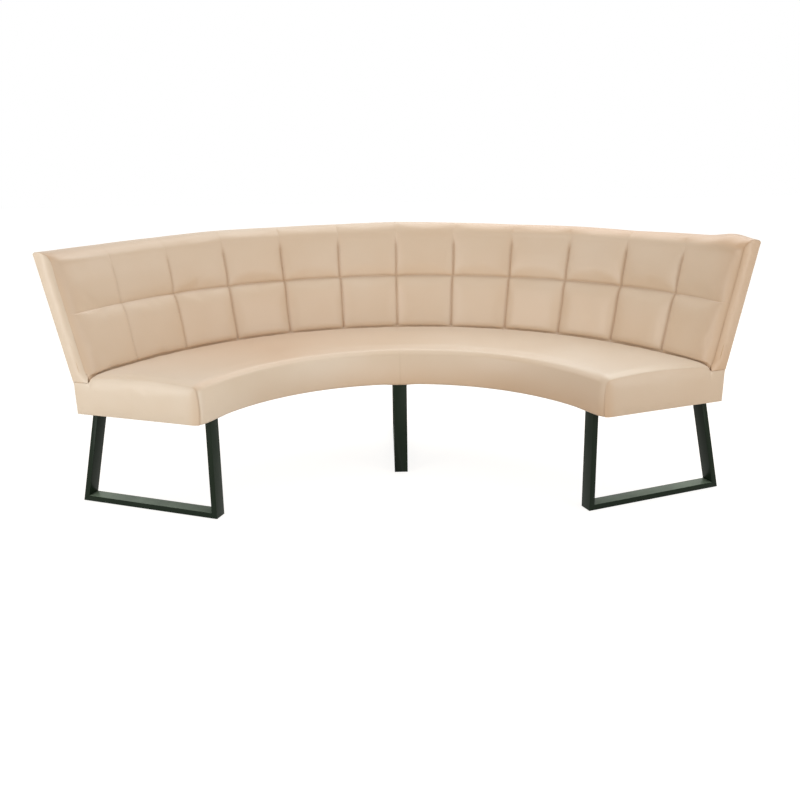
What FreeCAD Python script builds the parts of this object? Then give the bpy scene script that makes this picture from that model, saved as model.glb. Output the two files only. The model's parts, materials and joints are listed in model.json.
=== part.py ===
import FreeCAD, Part
import math
import os

# Curved upholstered bench on three sled legs.
# Lengths are in millimetres and angles in degrees.
# The bench follows an arc about an upright axis. A radius is measured from that axis, an angle from the
# middle of the bench, and an inset square to the flat end of the bench.

# Overall body
arc_half_angle = 69.6
seat_front_radius = 688.0
body_depth = 477.0
underside_height = 356.0
overall_height = 890.0
recline_angle = 12.7
back_thickness = 60.0

# Cover, padding and boards, from the outside in
cover_thickness = 1.5
soft_gap = 0.3
seam_gap = 0.3
glue_line = 0.1
rear_padding_thickness = 5.0
rear_panel_thickness = 4.0
front_panel_thickness = 6.0
dust_cover_thickness = 1.0

# Seat frame
frame_height = 58.0
deck_thickness = 15.0
deck_joint_gap = 1.0
rail_thickness = 18.0
beam_width = 60.0
rib_width = 20.0
rib_shares = (2 / 7, 4 / 7)

# Seat cushion
cushion_rear_thickness = 55.0
cushion_front_rise = 3.0
cushion_crown_radius = 1950.0
cushion_corner_radius = 28.0
cushion_front_bow_radius = 340.0
cushion_back_clearance = 1.0
edge_foam_thickness = 10.0
seat_edge_radius = 11.0
end_cover_wrap = 12.0

# Where the upright rear of the seat folds into the reclined back, above the deck
rear_fold_rise = 28.0
end_shelf_rise = 35.0

# Back frame
post_depth = 20.0
post_width = 50.0
post_shares = (5 / 7, 3 / 7, 1 / 7)
top_rail_height = 20.0
lower_rail_height = 40.0
top_foam_thickness = 22.0

# Quilted squares of the back
column_count = 12
lower_square_height = 204.0
square_puff = 17.0
seam_draw = 2.0
top_roll_radius = 32.0
top_roll_swell = 2.0
top_rear_drop = 7.0
puff_shares = ((0.0, 0.0), (0.17, 0.72), (0.5, 1.0), (0.83, 0.72), (1.0, 0.0))

# Legs
leg_tube_width = 50.0
leg_tube_depth = 20.0
leg_tube_wall = 2.0
leg_plate_thickness = 5.0
leg_front_setback = 10.0
leg_front_lean = 5.0
leg_rear_setback = 14.0
leg_rear_overhang = 91.0
leg_end_inset = 64.0
glide_height = 3.0
glide_radius = 9.0
glide_setback = 35.0

# Fasteners
bolt_radius = 4.0
bolt_head_radius = 6.5
bolt_head_height = 5.0
bolt_clearance = 0.5
bolt_tip_gap = 3.0
plate_hole_setback = 45.0
plate_hole_spacing = 30.0
tee_nut_flange_radius = 10.0
tee_nut_flange_thickness = 1.5
tee_nut_barrel_radius = 5.6
tee_nut_barrel_length = 11.0
thread_clearance = 0.1
coach_head_radius = 9.0
coach_head_height = 3.5
coach_bolt_rises = (18.0, 43.0)
end_post_bolt_shift = 13.0
nut_radius = 7.5
nut_sides = 6
nut_height = 6.5
screw_radius = 2.0
screw_head_radius = 4.0
screw_head_height = 3.0
screw_length = 40.0
screw_shares = (0.3, 0.7)
beam_screw_spacing = 30.0

overrun = 30.0
overrun_angle = 2.0

# Radii and heights that follow from the sizes above
seat_rear_radius = seat_front_radius + body_depth
frame_bottom = underside_height + dust_cover_thickness
frame_top = frame_bottom + frame_height
deck_top = frame_top + deck_thickness
seat_rear_height = deck_top + cushion_rear_thickness
seat_front_height = seat_rear_height + cushion_front_rise
rear_fold_height = deck_top + rear_fold_rise
end_shelf_height = deck_top + end_shelf_rise
quilt_seam_height = seat_rear_height + lower_square_height
roll_height = overall_height - top_roll_radius
rear_edge_height = overall_height - top_rear_drop
back_frame_top = overall_height - cover_thickness - soft_gap - top_foam_thickness
post_top = back_frame_top - top_rail_height
leg_top = underside_height - leg_plate_thickness
recline_slope = math.tan(math.radians(recline_angle))

# Depths into the body from its rear face, measured level
cover_room = cover_thickness + soft_gap
padding_face = cover_room + rear_padding_thickness
rear_panel_face = padding_face + soft_gap
post_rear = rear_panel_face + rear_panel_thickness
post_front = post_rear + post_depth
front_panel_face = post_front + front_panel_thickness
foam_rear = front_panel_face + soft_gap

# Radii of the seat frame
foam_skirt_radius = seat_front_radius + cover_room + edge_foam_thickness
front_rail_outside = foam_skirt_radius + soft_gap
front_rail_inside = front_rail_outside + rail_thickness
rear_rail_outside = seat_rear_radius - post_front
rear_rail_inside = rear_rail_outside - rail_thickness
skirt_inset = cover_room + edge_foam_thickness
frame_inset = skirt_inset + soft_gap

up = FreeCAD.Vector(0, 0, 1)
axis_foot = FreeCAD.Vector(0, 0, 0)


def rear_face_radius(height):
    """Radius of the body's rear face, upright below the fold and reclined above it."""
    return seat_rear_radius + max(height - rear_fold_height, 0) * recline_slope


def cone_radius(height, depth):
    """Radius at a level depth inside the reclined rear face, whose slope also runs on below the fold."""
    return seat_rear_radius + (height - rear_fold_height) * recline_slope - depth


def radial(angle):
    """Level unit vector from the axis towards an angle."""
    turn = math.radians(angle)
    return FreeCAD.Vector(math.sin(turn), math.cos(turn), 0)


def inward(side):
    """Level unit vector square to the flat end on one side, pointing into the bench."""
    turn = math.radians(arc_half_angle)
    return FreeCAD.Vector(-side * math.cos(turn), math.sin(turn), 0)


def angle_station(angle):
    """Upright plane through the axis: its origin, its level direction and its normal."""
    return axis_foot, radial(angle), up.cross(radial(angle))


def end_station(side, inset):
    """Upright plane parallel to the flat end on one side, at an inset from it."""
    return inward(side) * inset, radial(side * arc_half_angle), inward(side)


def place(station, reach, height, shift=0):
    """Point in a station's plane, or shifted along its normal."""
    origin, along, across = station
    return origin + along * reach + across * shift + up * height


def outline(station, start, moves, shift=0):
    """Closed wire in a station's plane; a move is an end point, or a point on the arc and its end."""
    edges = []
    here = place(station, *start, shift)
    for move in moves + [(start,)]:
        points = [place(station, *point, shift) for point in move]
        if len(points) == 2:
            edges.append(Part.Arc(here, points[0], points[1]).toShape())
        else:
            edges.append(Part.LineSegment(here, points[0]).toShape())
        here = points[-1]
    return Part.Wire(edges)


def polygon(corners):
    """Straight-sided outline as a start point and its moves."""
    return corners[0], [(corner,) for corner in corners[1:]]


def ring(start, moves, half_span=arc_half_angle + overrun_angle):
    """Solid made by turning a section of radius and height about the axis."""
    wire = outline(angle_station(half_span), start, moves)
    return Part.Face(wire).revolve(axis_foot, up, 2 * half_span)


def end_block(side, inset):
    """Block that fills everything beyond an inset from the flat end on one side."""
    station = end_station(side, inset)
    reach = rear_face_radius(overall_height) + overrun
    corners = [(0, -overrun), (reach, -overrun), (reach, overall_height + overrun), (0, overall_height + overrun)]
    wire = outline(station, *polygon(corners))
    return Part.Face(wire).extrude(inward(side) * -reach)


def between_ends(shape, inset):
    """The part of a shape that lies further than an inset inside both flat ends."""
    return shape.cut([end_block(-1, inset), end_block(1, inset)])


def slab(station, start, moves, width, shift=0):
    """Flat board in a station's plane, centred on a shift along its normal."""
    wire = outline(station, start, moves, shift - width / 2)
    return Part.Face(wire).extrude(station[2] * width)


def upright_slab(station, near, far, low, high, width, shift=0):
    """Rectangular board in a station's plane."""
    corners = [(near, low), (far, low), (far, high), (near, high)]
    return slab(station, *polygon(corners), width, shift)


def rod(station, reach, height, radius, length, direction, shift=0):
    """Round bar that starts at a station's point and runs along a direction."""
    return Part.makeCylinder(radius, length, place(station, reach, height, shift), direction)


def hollow_ring(near, far, low, high):
    """Ring of rectangular section between two radii and two heights."""
    return ring(*polygon([(near, low), (far, low), (far, high), (near, high)]))


def cone_ring(low, high, outer_depth, inner_depth):
    """Reclined ring between two heights and two level depths from the rear face."""
    corners = [(cone_radius(low, inner_depth), low), (cone_radius(low, outer_depth), low),
               (cone_radius(high, outer_depth), high), (cone_radius(high, inner_depth), high)]
    return ring(*polygon(corners))


def folded_ring(low, high, outer_depth, inner_depth):
    """Ring that stands upright below the fold and reclines above it."""
    corners = [(seat_rear_radius - inner_depth, low), (seat_rear_radius - outer_depth, low),
               (seat_rear_radius - outer_depth, rear_fold_height),
               (rear_face_radius(high) - outer_depth, high), (rear_face_radius(high) - inner_depth, high),
               (seat_rear_radius - inner_depth, rear_fold_height)]
    return ring(*polygon(corners))


# Legs

leg_sides = {"left": -1, "middle": 0, "right": 1}


def leg_station(side):
    """Upright middle plane of a leg."""
    if side == 0:
        return angle_station(0)
    return end_station(side, leg_end_inset + leg_tube_width / 2)


def inner_corner(before, corner, after, depth):
    """Corner of a mitred frame's inside, a tube depth in from both of its sides."""
    arms = []
    for point in (before, after):
        run = (point[0] - corner[0], point[1] - corner[1])
        length = math.hypot(*run)
        arms.append((run[0] / length, run[1] / length))
    sine = abs(arms[0][0] * arms[1][1] - arms[0][1] * arms[1][0])
    return tuple(corner[i] + (arms[0][i] + arms[1][i]) * depth / sine for i in (0, 1))


def blend(first, second, share):
    """Point at a share of the way between two points."""
    return tuple(first[i] + (second[i] - first[i]) * share for i in (0, 1))


def leg_outlines():
    """Pairs of outer and inner corners where the tubes of a leg begin and end."""
    front_foot = (seat_front_radius + leg_front_setback, glide_height)
    front_top = (front_foot[0] - leg_front_lean, leg_top)
    rear_top = (seat_rear_radius - leg_rear_setback, leg_top)
    rear_foot = (rear_top[0] + leg_rear_overhang, glide_height)
    front_in = inner_corner(front_top, front_foot, rear_foot, leg_tube_depth)
    rear_in = inner_corner(front_foot, rear_foot, rear_top, leg_tube_depth)
    ends = [(front_foot, front_in), (rear_foot, rear_in)]
    tops = []
    for (foot, foot_in), top in zip(ends, (front_top, rear_top)):
        rise_share = (leg_top - foot_in[1]) / (leg_top - foot[1])
        tops.append((top, (foot_in[0] + (top[0] - foot[0]) * rise_share, leg_top)))
    return tops[0], ends[0], ends[1], tops[1]


def mitred_tube(station, first, last):
    """Rectangular tube between two cut ends, each given as its outer and inner corner."""
    wall_share = leg_tube_wall / leg_tube_depth
    outside = [first[0], last[0], last[1], first[1]]
    bore = [blend(*first, wall_share), blend(*last, wall_share),
            blend(*last, 1 - wall_share), blend(*first, 1 - wall_share)]
    tube = slab(station, *polygon(outside), leg_tube_width)
    return tube.cut(slab(station, *polygon(bore), leg_tube_width - 2 * leg_tube_wall))


def plate_holes(side):
    """Reach and shift of each bolt through a leg's top plate."""
    front, _, _, rear = leg_outlines()
    reaches = (front[1][0] + plate_hole_setback, rear[1][0] - plate_hole_setback)
    return [(reach, shift) for reach in reaches for shift in (-plate_hole_spacing / 2, plate_hole_spacing / 2)]


def bolt_holes(radius, low, high, sides=(-1, 0, 1)):
    """Upright holes at all the leg bolts of the given legs."""
    return [rod(leg_station(side), reach, low, radius, high - low, up, shift)
            for side in sides for reach, shift in plate_holes(side)]


def leg_parts(name, side):
    """Tubes, top plate and glides of one leg."""
    station = leg_station(side)
    front_top, front_foot, rear_foot, rear_top = leg_outlines()
    plate = upright_slab(station, front_top[0][0], rear_top[0][0], leg_top, underside_height, leg_tube_width)
    glides = [rod(station, reach, 0, glide_radius, glide_height, up)
              for reach in (front_foot[0][0] + glide_setback, rear_foot[0][0] - glide_setback)]
    return {
        name + "_leg_front_upright": mitred_tube(station, front_top, front_foot),
        name + "_leg_floor_bar": mitred_tube(station, front_foot, rear_foot),
        name + "_leg_rear_upright": mitred_tube(station, rear_foot, rear_top),
        name + "_leg_top_plate": plate.cut(bolt_holes(bolt_radius + bolt_clearance, leg_top - overrun,
                                                      underside_height + overrun, (side,))),
        name + "_leg_glides": Part.makeCompound(glides),
    }


def leg_bolts():
    """Bolts that hold the top plates up against the beams."""
    tip = frame_top - bolt_tip_gap
    bolts = []
    for side in leg_sides.values():
        for reach, shift in plate_holes(side):
            shank = rod(leg_station(side), reach, leg_top, bolt_radius, tip - leg_top, up, shift)
            head = rod(leg_station(side), reach, leg_top - bolt_head_height, bolt_head_radius,
                       bolt_head_height, up, shift)
            bolts.append(shank.fuse(head).removeSplitter())
    return Part.makeCompound(bolts)


def leg_tee_nuts():
    """Flanged nuts let into the tops of the beams."""
    nuts = []
    for side in leg_sides.values():
        for reach, shift in plate_holes(side):
            station = leg_station(side)
            flange_bottom = frame_top - tee_nut_flange_thickness
            flange = rod(station, reach, flange_bottom, tee_nut_flange_radius, tee_nut_flange_thickness, up, shift)
            barrel = rod(station, reach, flange_bottom - tee_nut_barrel_length, tee_nut_barrel_radius,
                         tee_nut_barrel_length, up, shift)
            bore = rod(station, reach, frame_bottom, bolt_radius + thread_clearance, frame_height + overrun,
                       up, shift)
            nuts.append(flange.fuse(barrel).cut(bore).removeSplitter())
    return Part.makeCompound(nuts)


# Seat frame

def beam_stations():
    """Plane of each member that runs from the front rail to the rear rail, with its width."""
    stations = {name + "_leg_beam": (leg_station(side), beam_width) for name, side in leg_sides.items()}
    for name, side in (("left", -1), ("right", 1)):
        for place_name, share in zip(("inner", "outer"), rib_shares):
            angle = side * arc_half_angle * share
            stations["%s_%s_rib" % (name, place_name)] = (angle_station(angle), rib_width)
    return stations


def screw_places():
    """Station, reach and shift of each screw through the deck."""
    places = []
    for station, width in beam_stations().values():
        shifts = (-beam_screw_spacing / 2, beam_screw_spacing / 2) if width == beam_width else (0,)
        for share in screw_shares:
            reach = front_rail_inside + (rear_rail_inside - front_rail_inside) * share
            places += [(station, reach, shift) for shift in shifts]
    return places


def screws(clearance=0):
    """Countersunk screws that hold the deck down, or with a clearance the holes for them."""
    shapes = []
    for station, reach, shift in screw_places():
        shank = rod(station, reach, deck_top - screw_length - clearance, screw_radius + clearance,
                    screw_length + clearance, up, shift)
        head = rod(station, reach, deck_top - screw_head_height - clearance, screw_head_radius + clearance,
                   screw_head_height + clearance, up, shift)
        shapes.append(shank.fuse(head).removeSplitter())
    return shapes


def seat_members():
    """Beams over the legs and ribs between them."""
    bay = hollow_ring(front_rail_inside, rear_rail_inside, frame_bottom, frame_top)
    holes = screws(thread_clearance)
    holes += bolt_holes(bolt_radius + bolt_clearance, frame_bottom - overrun, frame_top + overrun)
    flange_bottom = frame_top - tee_nut_flange_thickness
    holes += bolt_holes(tee_nut_flange_radius + thread_clearance, flange_bottom, frame_top + overrun)
    holes += bolt_holes(tee_nut_barrel_radius + thread_clearance, flange_bottom - tee_nut_barrel_length, frame_top)
    members = {}
    for name, (station, width) in beam_stations().items():
        member = upright_slab(station, front_rail_outside, rear_rail_outside, frame_bottom, frame_top, width)
        members[name] = member.common(bay).cut(holes)
    return members


def end_rail(side):
    """Rail of the seat frame along one flat end, between the front and rear rails."""
    station = end_station(side, frame_inset + rail_thickness / 2)
    rail = upright_slab(station, front_rail_outside, rear_rail_outside, frame_bottom, frame_top, rail_thickness)
    return rail.common(hollow_ring(front_rail_inside, rear_rail_inside, frame_bottom, frame_top))


def coach_bolt_holes(radius):
    """Level holes through the rear rail and the posts."""
    return [rod(angle_station(angle), rear_rail_inside - overrun, frame_bottom + rise, radius,
                seat_rear_radius - rear_rail_inside + overrun, radial(angle))
            for angle in coach_bolt_angles() for rise in coach_bolt_rises]


def front_rail():
    """Bent rail behind the front of the seat."""
    return between_ends(hollow_ring(front_rail_outside, front_rail_inside, frame_bottom, frame_top), frame_inset)


def rear_rail():
    """Bent rail that the posts of the back are bolted to."""
    rail = between_ends(hollow_ring(rear_rail_inside, rear_rail_outside, frame_bottom, frame_top), frame_inset)
    return rail.cut(coach_bolt_holes(bolt_radius + bolt_clearance))


def deck(side):
    """Half of the board that carries the cushion."""
    board = between_ends(hollow_ring(front_rail_outside, rear_rail_outside, frame_top, deck_top), frame_inset)
    reach = seat_rear_radius + overrun
    centre = side * (deck_joint_gap / 2 + reach / 2)
    half = upright_slab(angle_station(0), 0, reach, frame_top - overrun, deck_top + overrun, reach, -centre)
    return board.common(half).cut(screws(thread_clearance))


def dust_cover():
    """Cloth that closes the underside, inside the lower edges of the covers."""
    near = seat_front_radius + cover_room
    far = seat_rear_radius - cover_room
    cloth = between_ends(hollow_ring(near, far, underside_height, frame_bottom), cover_room)
    front_corners = [edge for edge in cloth.Edges
                     if edge.Length < 2 * dust_cover_thickness
                     and math.hypot(edge.CenterOfMass.x, edge.CenterOfMass.y) < foam_skirt_radius]
    cloth = cloth.makeFillet(seat_edge_radius - cover_room, front_corners)
    return cloth.cut(bolt_holes(bolt_radius + bolt_clearance, underside_height - overrun, frame_bottom + overrun))


# Seat cushion

def touching_centre(start, radius, corner, corner_radius, turn):
    """Centre of an arc that leaves a point and runs smoothly into the rounded corner of the cushion."""
    run = (corner[0] - start[0], corner[1] - start[1])
    length = math.hypot(*run)
    near = (length ** 2 + radius ** 2 - (radius - corner_radius) ** 2) / (2 * length)
    aside = turn * math.sqrt(radius ** 2 - near ** 2)
    return (start[0] + (run[0] * near - run[1] * aside) / length,
            start[1] + (run[1] * near + run[0] * aside) / length)


def away_from(centre, corner, distance):
    """Point at a distance from a corner's centre, straight away from another centre."""
    run = (corner[0] - centre[0], corner[1] - centre[1])
    length = math.hypot(*run)
    return corner[0] + run[0] / length * distance, corner[1] + run[1] / length * distance


def cushion_top(depth, bottom=underside_height):
    """Bowed front, rounded corner and crown of the cushion's section, at a depth below its surface."""
    corner = (seat_front_radius + cushion_corner_radius, seat_front_height - cushion_corner_radius)
    rear = cone_radius(seat_rear_height, back_thickness + cushion_back_clearance)
    bow = touching_centre((seat_front_radius, underside_height), cushion_front_bow_radius,
                          corner, cushion_corner_radius, -1)
    crown = touching_centre((rear, seat_rear_height), cushion_crown_radius, corner, cushion_corner_radius, 1)
    bow_radius = cushion_front_bow_radius - depth
    crown_radius = cushion_crown_radius - depth

    def bow_point(height):
        return bow[0] - math.sqrt(bow_radius ** 2 - (height - bow[1]) ** 2), height

    def crown_point(radius):
        return radius, crown[1] + math.sqrt(crown_radius ** 2 - (radius - crown[0]) ** 2)

    front_stop = away_from(bow, corner, cushion_corner_radius - depth)
    top_start = away_from(crown, corner, cushion_corner_radius - depth)
    chord_middle = blend(front_stop, top_start, 1 / 2)
    opposite = blend(chord_middle, corner, 2)
    corner_middle = away_from(opposite, corner, cushion_corner_radius - depth)
    moves = [(bow_point((bottom + front_stop[1]) / 2), front_stop),
             (corner_middle, top_start),
             (crown_point((top_start[0] + rear - depth) / 2), crown_point(rear - depth))]
    return bow_point(bottom), moves


def cushion_foot(depth):
    """Lower rear corner of the cushion's section, just above the deck."""
    foot = deck_top + soft_gap
    return cone_radius(foot, back_thickness + cushion_back_clearance + depth), foot


def reversed_path(start, moves):
    """The same path walked from its end to its start."""
    stops = [start] + [move[-1] for move in moves]
    backwards = []
    for index in range(len(moves) - 1, -1, -1):
        backwards.append(moves[index][:-1] + (stops[index],))
    return stops[-1], backwards


def seat_cover():
    """Cover over the top, front and rear of the cushion."""
    start, moves = cushion_top(0)
    inner_start, inner_moves = cushion_top(cover_thickness)
    back_start, back_moves = reversed_path(inner_start, inner_moves)
    band = moves + [(cushion_foot(0),), (cushion_foot(cover_thickness),), (back_start,)] + back_moves
    return between_ends(ring(start, band), end_cover_wrap + seam_gap)


def rounded_end(shape, side, inset, radius):
    """Shape with the front, corner and crown edges of its face at one flat end rounded."""
    edges = []
    for edge in shape.Edges:
        points = [vertex.Point for vertex in edge.Vertexes] + [edge.CenterOfMass]
        flat = all(abs(point.dot(inward(side)) - inset) < cover_thickness / 2 for point in points)
        low = all(point.z < frame_top for point in points)
        rear = all(point.dot(radial(side * arc_half_angle)) > rear_limit(point.z) for point in points)
        if flat and not low and not rear:
            edges.append(edge)
    return shape.makeFillet(radius, edges)


def rear_limit(height):
    """Radius past which an edge belongs to the rear of the cushion and stays sharp."""
    return cone_radius(height, back_thickness + cushion_back_clearance + cushion_corner_radius)


def seat_foam():
    """Crowned top slab with strips down the front and both ends of the frame."""
    bottom = frame_bottom + soft_gap
    start, moves = cushion_top(cover_room, bottom)
    foot = cushion_foot(cover_room)
    body = between_ends(ring(start, moves + [(foot,), ((foot[0], bottom),)]), cover_room)
    for side in (-1, 1):
        body = rounded_end(body, side, cover_room, seat_edge_radius - cover_room)
    room = hollow_ring(foam_skirt_radius, foot[0] + overrun, bottom - overrun, deck_top + soft_gap)
    return body.cut(between_ends(room, skirt_inset))


def seat_end_cover(side):
    """Flat panel over one end of the seat, wrapped round the end's front and top edges."""
    start, moves = cushion_top(0)
    shelf = cone_radius(end_shelf_height, back_thickness + cushion_back_clearance)
    rear = [((shelf, end_shelf_height),), ((rear_face_radius(end_shelf_height), end_shelf_height),),
            ((seat_rear_radius, rear_fold_height),), ((seat_rear_radius, underside_height),)]
    middle = end_cover_wrap / 2
    panel = slab(end_station(side, middle), start, moves + rear, end_cover_wrap)
    panel = rounded_end(panel, side, 0, seat_edge_radius)
    station = end_station(side, cover_thickness + middle)
    start, moves = cushion_top(cover_thickness)
    foot = cushion_foot(cover_thickness)
    lowest = underside_height - overrun
    cushion_room = slab(station, start, moves + [(foot,), ((foot[0], underside_height),)], end_cover_wrap)
    cushion_room = rounded_end(cushion_room, side, cover_thickness, seat_edge_radius - cover_thickness)
    rear_room = upright_slab(station, foot[0], seat_rear_radius + overrun, lowest, end_shelf_height, end_cover_wrap)
    return panel.cut([cushion_room, rear_room])


# Back frame

def post_stations():
    """Plane of each post, from the left end of the bench to the right."""
    names = ("outer", "middle", "centre")
    left = {"left_end_post": end_station(-1, cover_room + post_width / 2)}
    right = {"right_end_post": end_station(1, cover_room + post_width / 2)}
    for name, share in zip(names, post_shares):
        left["left_%s_post" % name] = angle_station(-arc_half_angle * share)
        right["right_%s_post" % name] = angle_station(arc_half_angle * share)
    return {**left, **right}


def coach_bolt_angles():
    """Angle of each pair of bolts through a post and the rear rail."""
    inset = cover_room + post_width / 2 + end_post_bolt_shift
    end_angle = arc_half_angle - math.degrees(math.asin(inset / rear_rail_outside))
    angles = [end_angle] + [arc_half_angle * share for share in post_shares]
    return [side * angle for side in (-1, 1) for angle in angles]


def posts():
    """Uprights that carry the back, upright in the seat and reclined above it."""
    strip = folded_ring(frame_bottom, post_top, post_rear, post_front)
    holes = coach_bolt_holes(bolt_radius + bolt_clearance) + coach_head_recesses()
    shapes = {}
    for name, station in post_stations().items():
        board = upright_slab(station, rear_rail_outside - overrun, rear_face_radius(overall_height),
                             frame_bottom, post_top, post_width)
        shapes[name] = strip.common(board).cut(holes)
    return shapes


def coach_head_recesses():
    """Recesses in the posts for the heads of the bolts."""
    depth = coach_head_height + soft_gap
    start = seat_rear_radius - post_rear - depth
    return [rod(angle_station(angle), start, frame_bottom + rise, coach_head_radius + soft_gap,
                depth + overrun, radial(angle))
            for angle in coach_bolt_angles() for rise in coach_bolt_rises]


def coach_bolts():
    """Round-headed bolts through the posts and the rear rail."""
    bolts = []
    head_start = seat_rear_radius - post_rear - coach_head_height - soft_gap
    tip = rear_rail_inside - nut_height - soft_gap
    for angle in coach_bolt_angles():
        for rise in coach_bolt_rises:
            station = angle_station(angle)
            height = frame_bottom + rise
            shank = rod(station, tip, height, bolt_radius, head_start - tip, radial(angle))
            head = rod(station, head_start, height, coach_head_radius, coach_head_height, radial(angle))
            bolts.append(shank.fuse(head).removeSplitter())
    return Part.makeCompound(bolts)


def coach_nuts():
    """Hexagon nuts on the inside of the rear rail."""
    nuts = []
    for angle in coach_bolt_angles():
        for rise in coach_bolt_rises:
            height = frame_bottom + rise
            station = angle_station(angle)
            face = rear_rail_inside - soft_gap
            corners = []
            for turn in range(nut_sides):
                lean = 2 * math.pi * turn / nut_sides
                corners.append(place(station, face, height + nut_radius * math.sin(lean),
                                     nut_radius * math.cos(lean)))
            hexagon = Part.Face(Part.makePolygon(corners + corners[:1])).extrude(radial(angle) * -nut_height)
            bore = rod(station, face - nut_height - overrun, height, bolt_radius + thread_clearance,
                       nut_height + 2 * overrun, radial(angle))
            nuts.append(hexagon.cut(bore))
    return Part.makeCompound(nuts)


def lower_rail():
    """Rail pieces between the posts at the fold, where the rear covers are fixed."""
    strip = between_ends(folded_ring(deck_top, deck_top + lower_rail_height, post_rear, post_front), cover_room)
    boards = [upright_slab(station, rear_rail_outside - overrun, rear_face_radius(overall_height),
                           frame_bottom, post_top, post_width) for station in post_stations().values()]
    return strip.cut(boards)


# Quilted back pad

def pad_path(puff_share, depth, foot):
    """Front and top of the back pad as height and level thickness, at a depth below its surface."""
    crest = back_thickness + top_roll_swell - top_roll_radius
    half_turn_share = math.sqrt(0.5)
    swell = back_thickness + top_roll_swell + square_puff * puff_share - depth
    seam = back_thickness - seam_draw * (1 - puff_share) + seam_draw * puff_share / 2
    lower_middle = (seat_rear_height + quilt_seam_height) / 2
    upper_middle = (quilt_seam_height + roll_height) / 2
    roll = top_roll_radius - depth
    rear_middle = overall_height - top_rear_drop / 4
    start = (foot, back_thickness - depth)
    moves = [((seat_rear_height, back_thickness - depth),),
             ((lower_middle, swell), (quilt_seam_height, seam - depth)),
             ((upper_middle, swell), (roll_height, crest + roll)),
             ((roll_height + roll * half_turn_share, crest + roll * half_turn_share),
              (overall_height - depth, crest)),
             ((rear_middle - depth, crest / 2), (rear_edge_height - depth, 0))]
    return start, moves


def as_section(start, moves):
    """Path of heights and thicknesses turned into radii and heights."""
    def point(height, thickness):
        return cone_radius(height, thickness), height
    return point(*start), [tuple(point(*stop) for stop in move) for move in moves]


def quilted(section):
    """One solid lofted square by square through the sections that a function gives for a puff share."""
    step = 2 * arc_half_angle / column_count
    columns = []
    for index in range(column_count):
        first = index * step - arc_half_angle
        wires = [outline(angle_station(first + turn_share * step), *section(puff_share))
                 for turn_share, puff_share in puff_shares]
        columns.append(Part.makeLoft(wires, True, False))
    return columns[0].multiFuse(columns[1:])


def cover_section(puff_share):
    """Section of the quilted cover between its outside and its inside."""
    foot = deck_top + soft_gap
    start, moves = as_section(*pad_path(puff_share, 0, foot))
    back_start, back_moves = reversed_path(*as_section(*pad_path(puff_share, cover_thickness, foot)))
    return start, moves + [(back_start,)] + back_moves


def foam_section(puff_share):
    """Section of the back's foam, which also rolls over the top of the frame."""
    foot = deck_top + soft_gap
    ledge = back_frame_top + soft_gap
    start, moves = pad_path(puff_share, cover_room, foot)
    rear_stop = (moves[-1][-1][0], cover_room)
    moves = moves[:-1] + [(moves[-1][0], rear_stop), ((ledge, cover_room),), ((ledge, foam_rear),),
                          ((foot, foam_rear),)]
    return as_section(start, moves)


def back_end_cover(side):
    """Narrow panel over one end of the back, standing on the end panel of the seat."""
    foot = end_shelf_height + seam_gap
    start, moves = pad_path(0, 0, foot)
    section = as_section(start, moves + [((foot, 0),)])
    return slab(end_station(side, cover_thickness / 2), *section, cover_thickness)


def seat_parts():
    """Frame, boards, foam and covers of the seat."""
    parts = {
        "seat_front_rail": front_rail(),
        "seat_rear_rail": rear_rail(),
        "seat_left_end_rail": end_rail(-1),
        "seat_right_end_rail": end_rail(1),
        "seat_deck_left": deck(-1),
        "seat_deck_right": deck(1),
        "deck_screws": Part.makeCompound(screws()),
        "seat_foam": seat_foam(),
        "seat_cover": seat_cover(),
        "seat_left_end_cover": seat_end_cover(-1),
        "seat_right_end_cover": seat_end_cover(1),
        "seat_rear_panel": between_ends(hollow_ring(seat_rear_radius - post_rear + glue_line,
                                                    seat_rear_radius - rear_panel_face,
                                                    frame_bottom, rear_fold_height), cover_room),
        "seat_rear_cover": between_ends(hollow_ring(seat_rear_radius - cover_thickness, seat_rear_radius,
                                                    underside_height, rear_fold_height - seam_gap), cover_room),
        "dust_cover": dust_cover(),
    }
    parts.update(seat_members())
    return parts


def back_parts():
    """Posts, rails, boards, foam and covers of the back."""
    rear_cover_top = rear_edge_height - cover_thickness - seam_gap
    parts = {
        "back_lower_rail": lower_rail(),
        "back_top_rail": between_ends(cone_ring(post_top, back_frame_top, post_rear, post_front), cover_room),
        "back_front_panel": between_ends(cone_ring(deck_top, back_frame_top, post_front + glue_line,
                                                   front_panel_face), cover_room),
        "back_rear_panel": between_ends(cone_ring(rear_fold_height, back_frame_top, rear_panel_face,
                                                  post_rear - glue_line), cover_room),
        "rear_padding": between_ends(folded_ring(frame_bottom + soft_gap, back_frame_top, cover_room, padding_face),
                                     cover_room),
        "back_foam": between_ends(quilted(foam_section), cover_room),
        "back_front_cover": between_ends(quilted(cover_section), cover_room),
        "back_rear_cover": between_ends(cone_ring(rear_fold_height + seam_gap, rear_cover_top, 0, cover_thickness),
                                        cover_room),
        "back_left_end_cover": back_end_cover(-1),
        "back_right_end_cover": back_end_cover(1),
        "back_bolts": coach_bolts(),
        "back_nuts": coach_nuts(),
    }
    parts.update(posts())
    return parts


def origin_shift():
    """Move from the axis to the middle of the bench's footprint on the floor."""
    turn = math.radians(arc_half_angle)
    front = ((seat_front_radius + seat_edge_radius) * math.cos(turn)
             + seat_edge_radius * math.sin(turn) - seat_edge_radius)
    rear = rear_face_radius(rear_edge_height)
    return FreeCAD.Vector(0, -(front + rear) / 2, 0)


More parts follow.
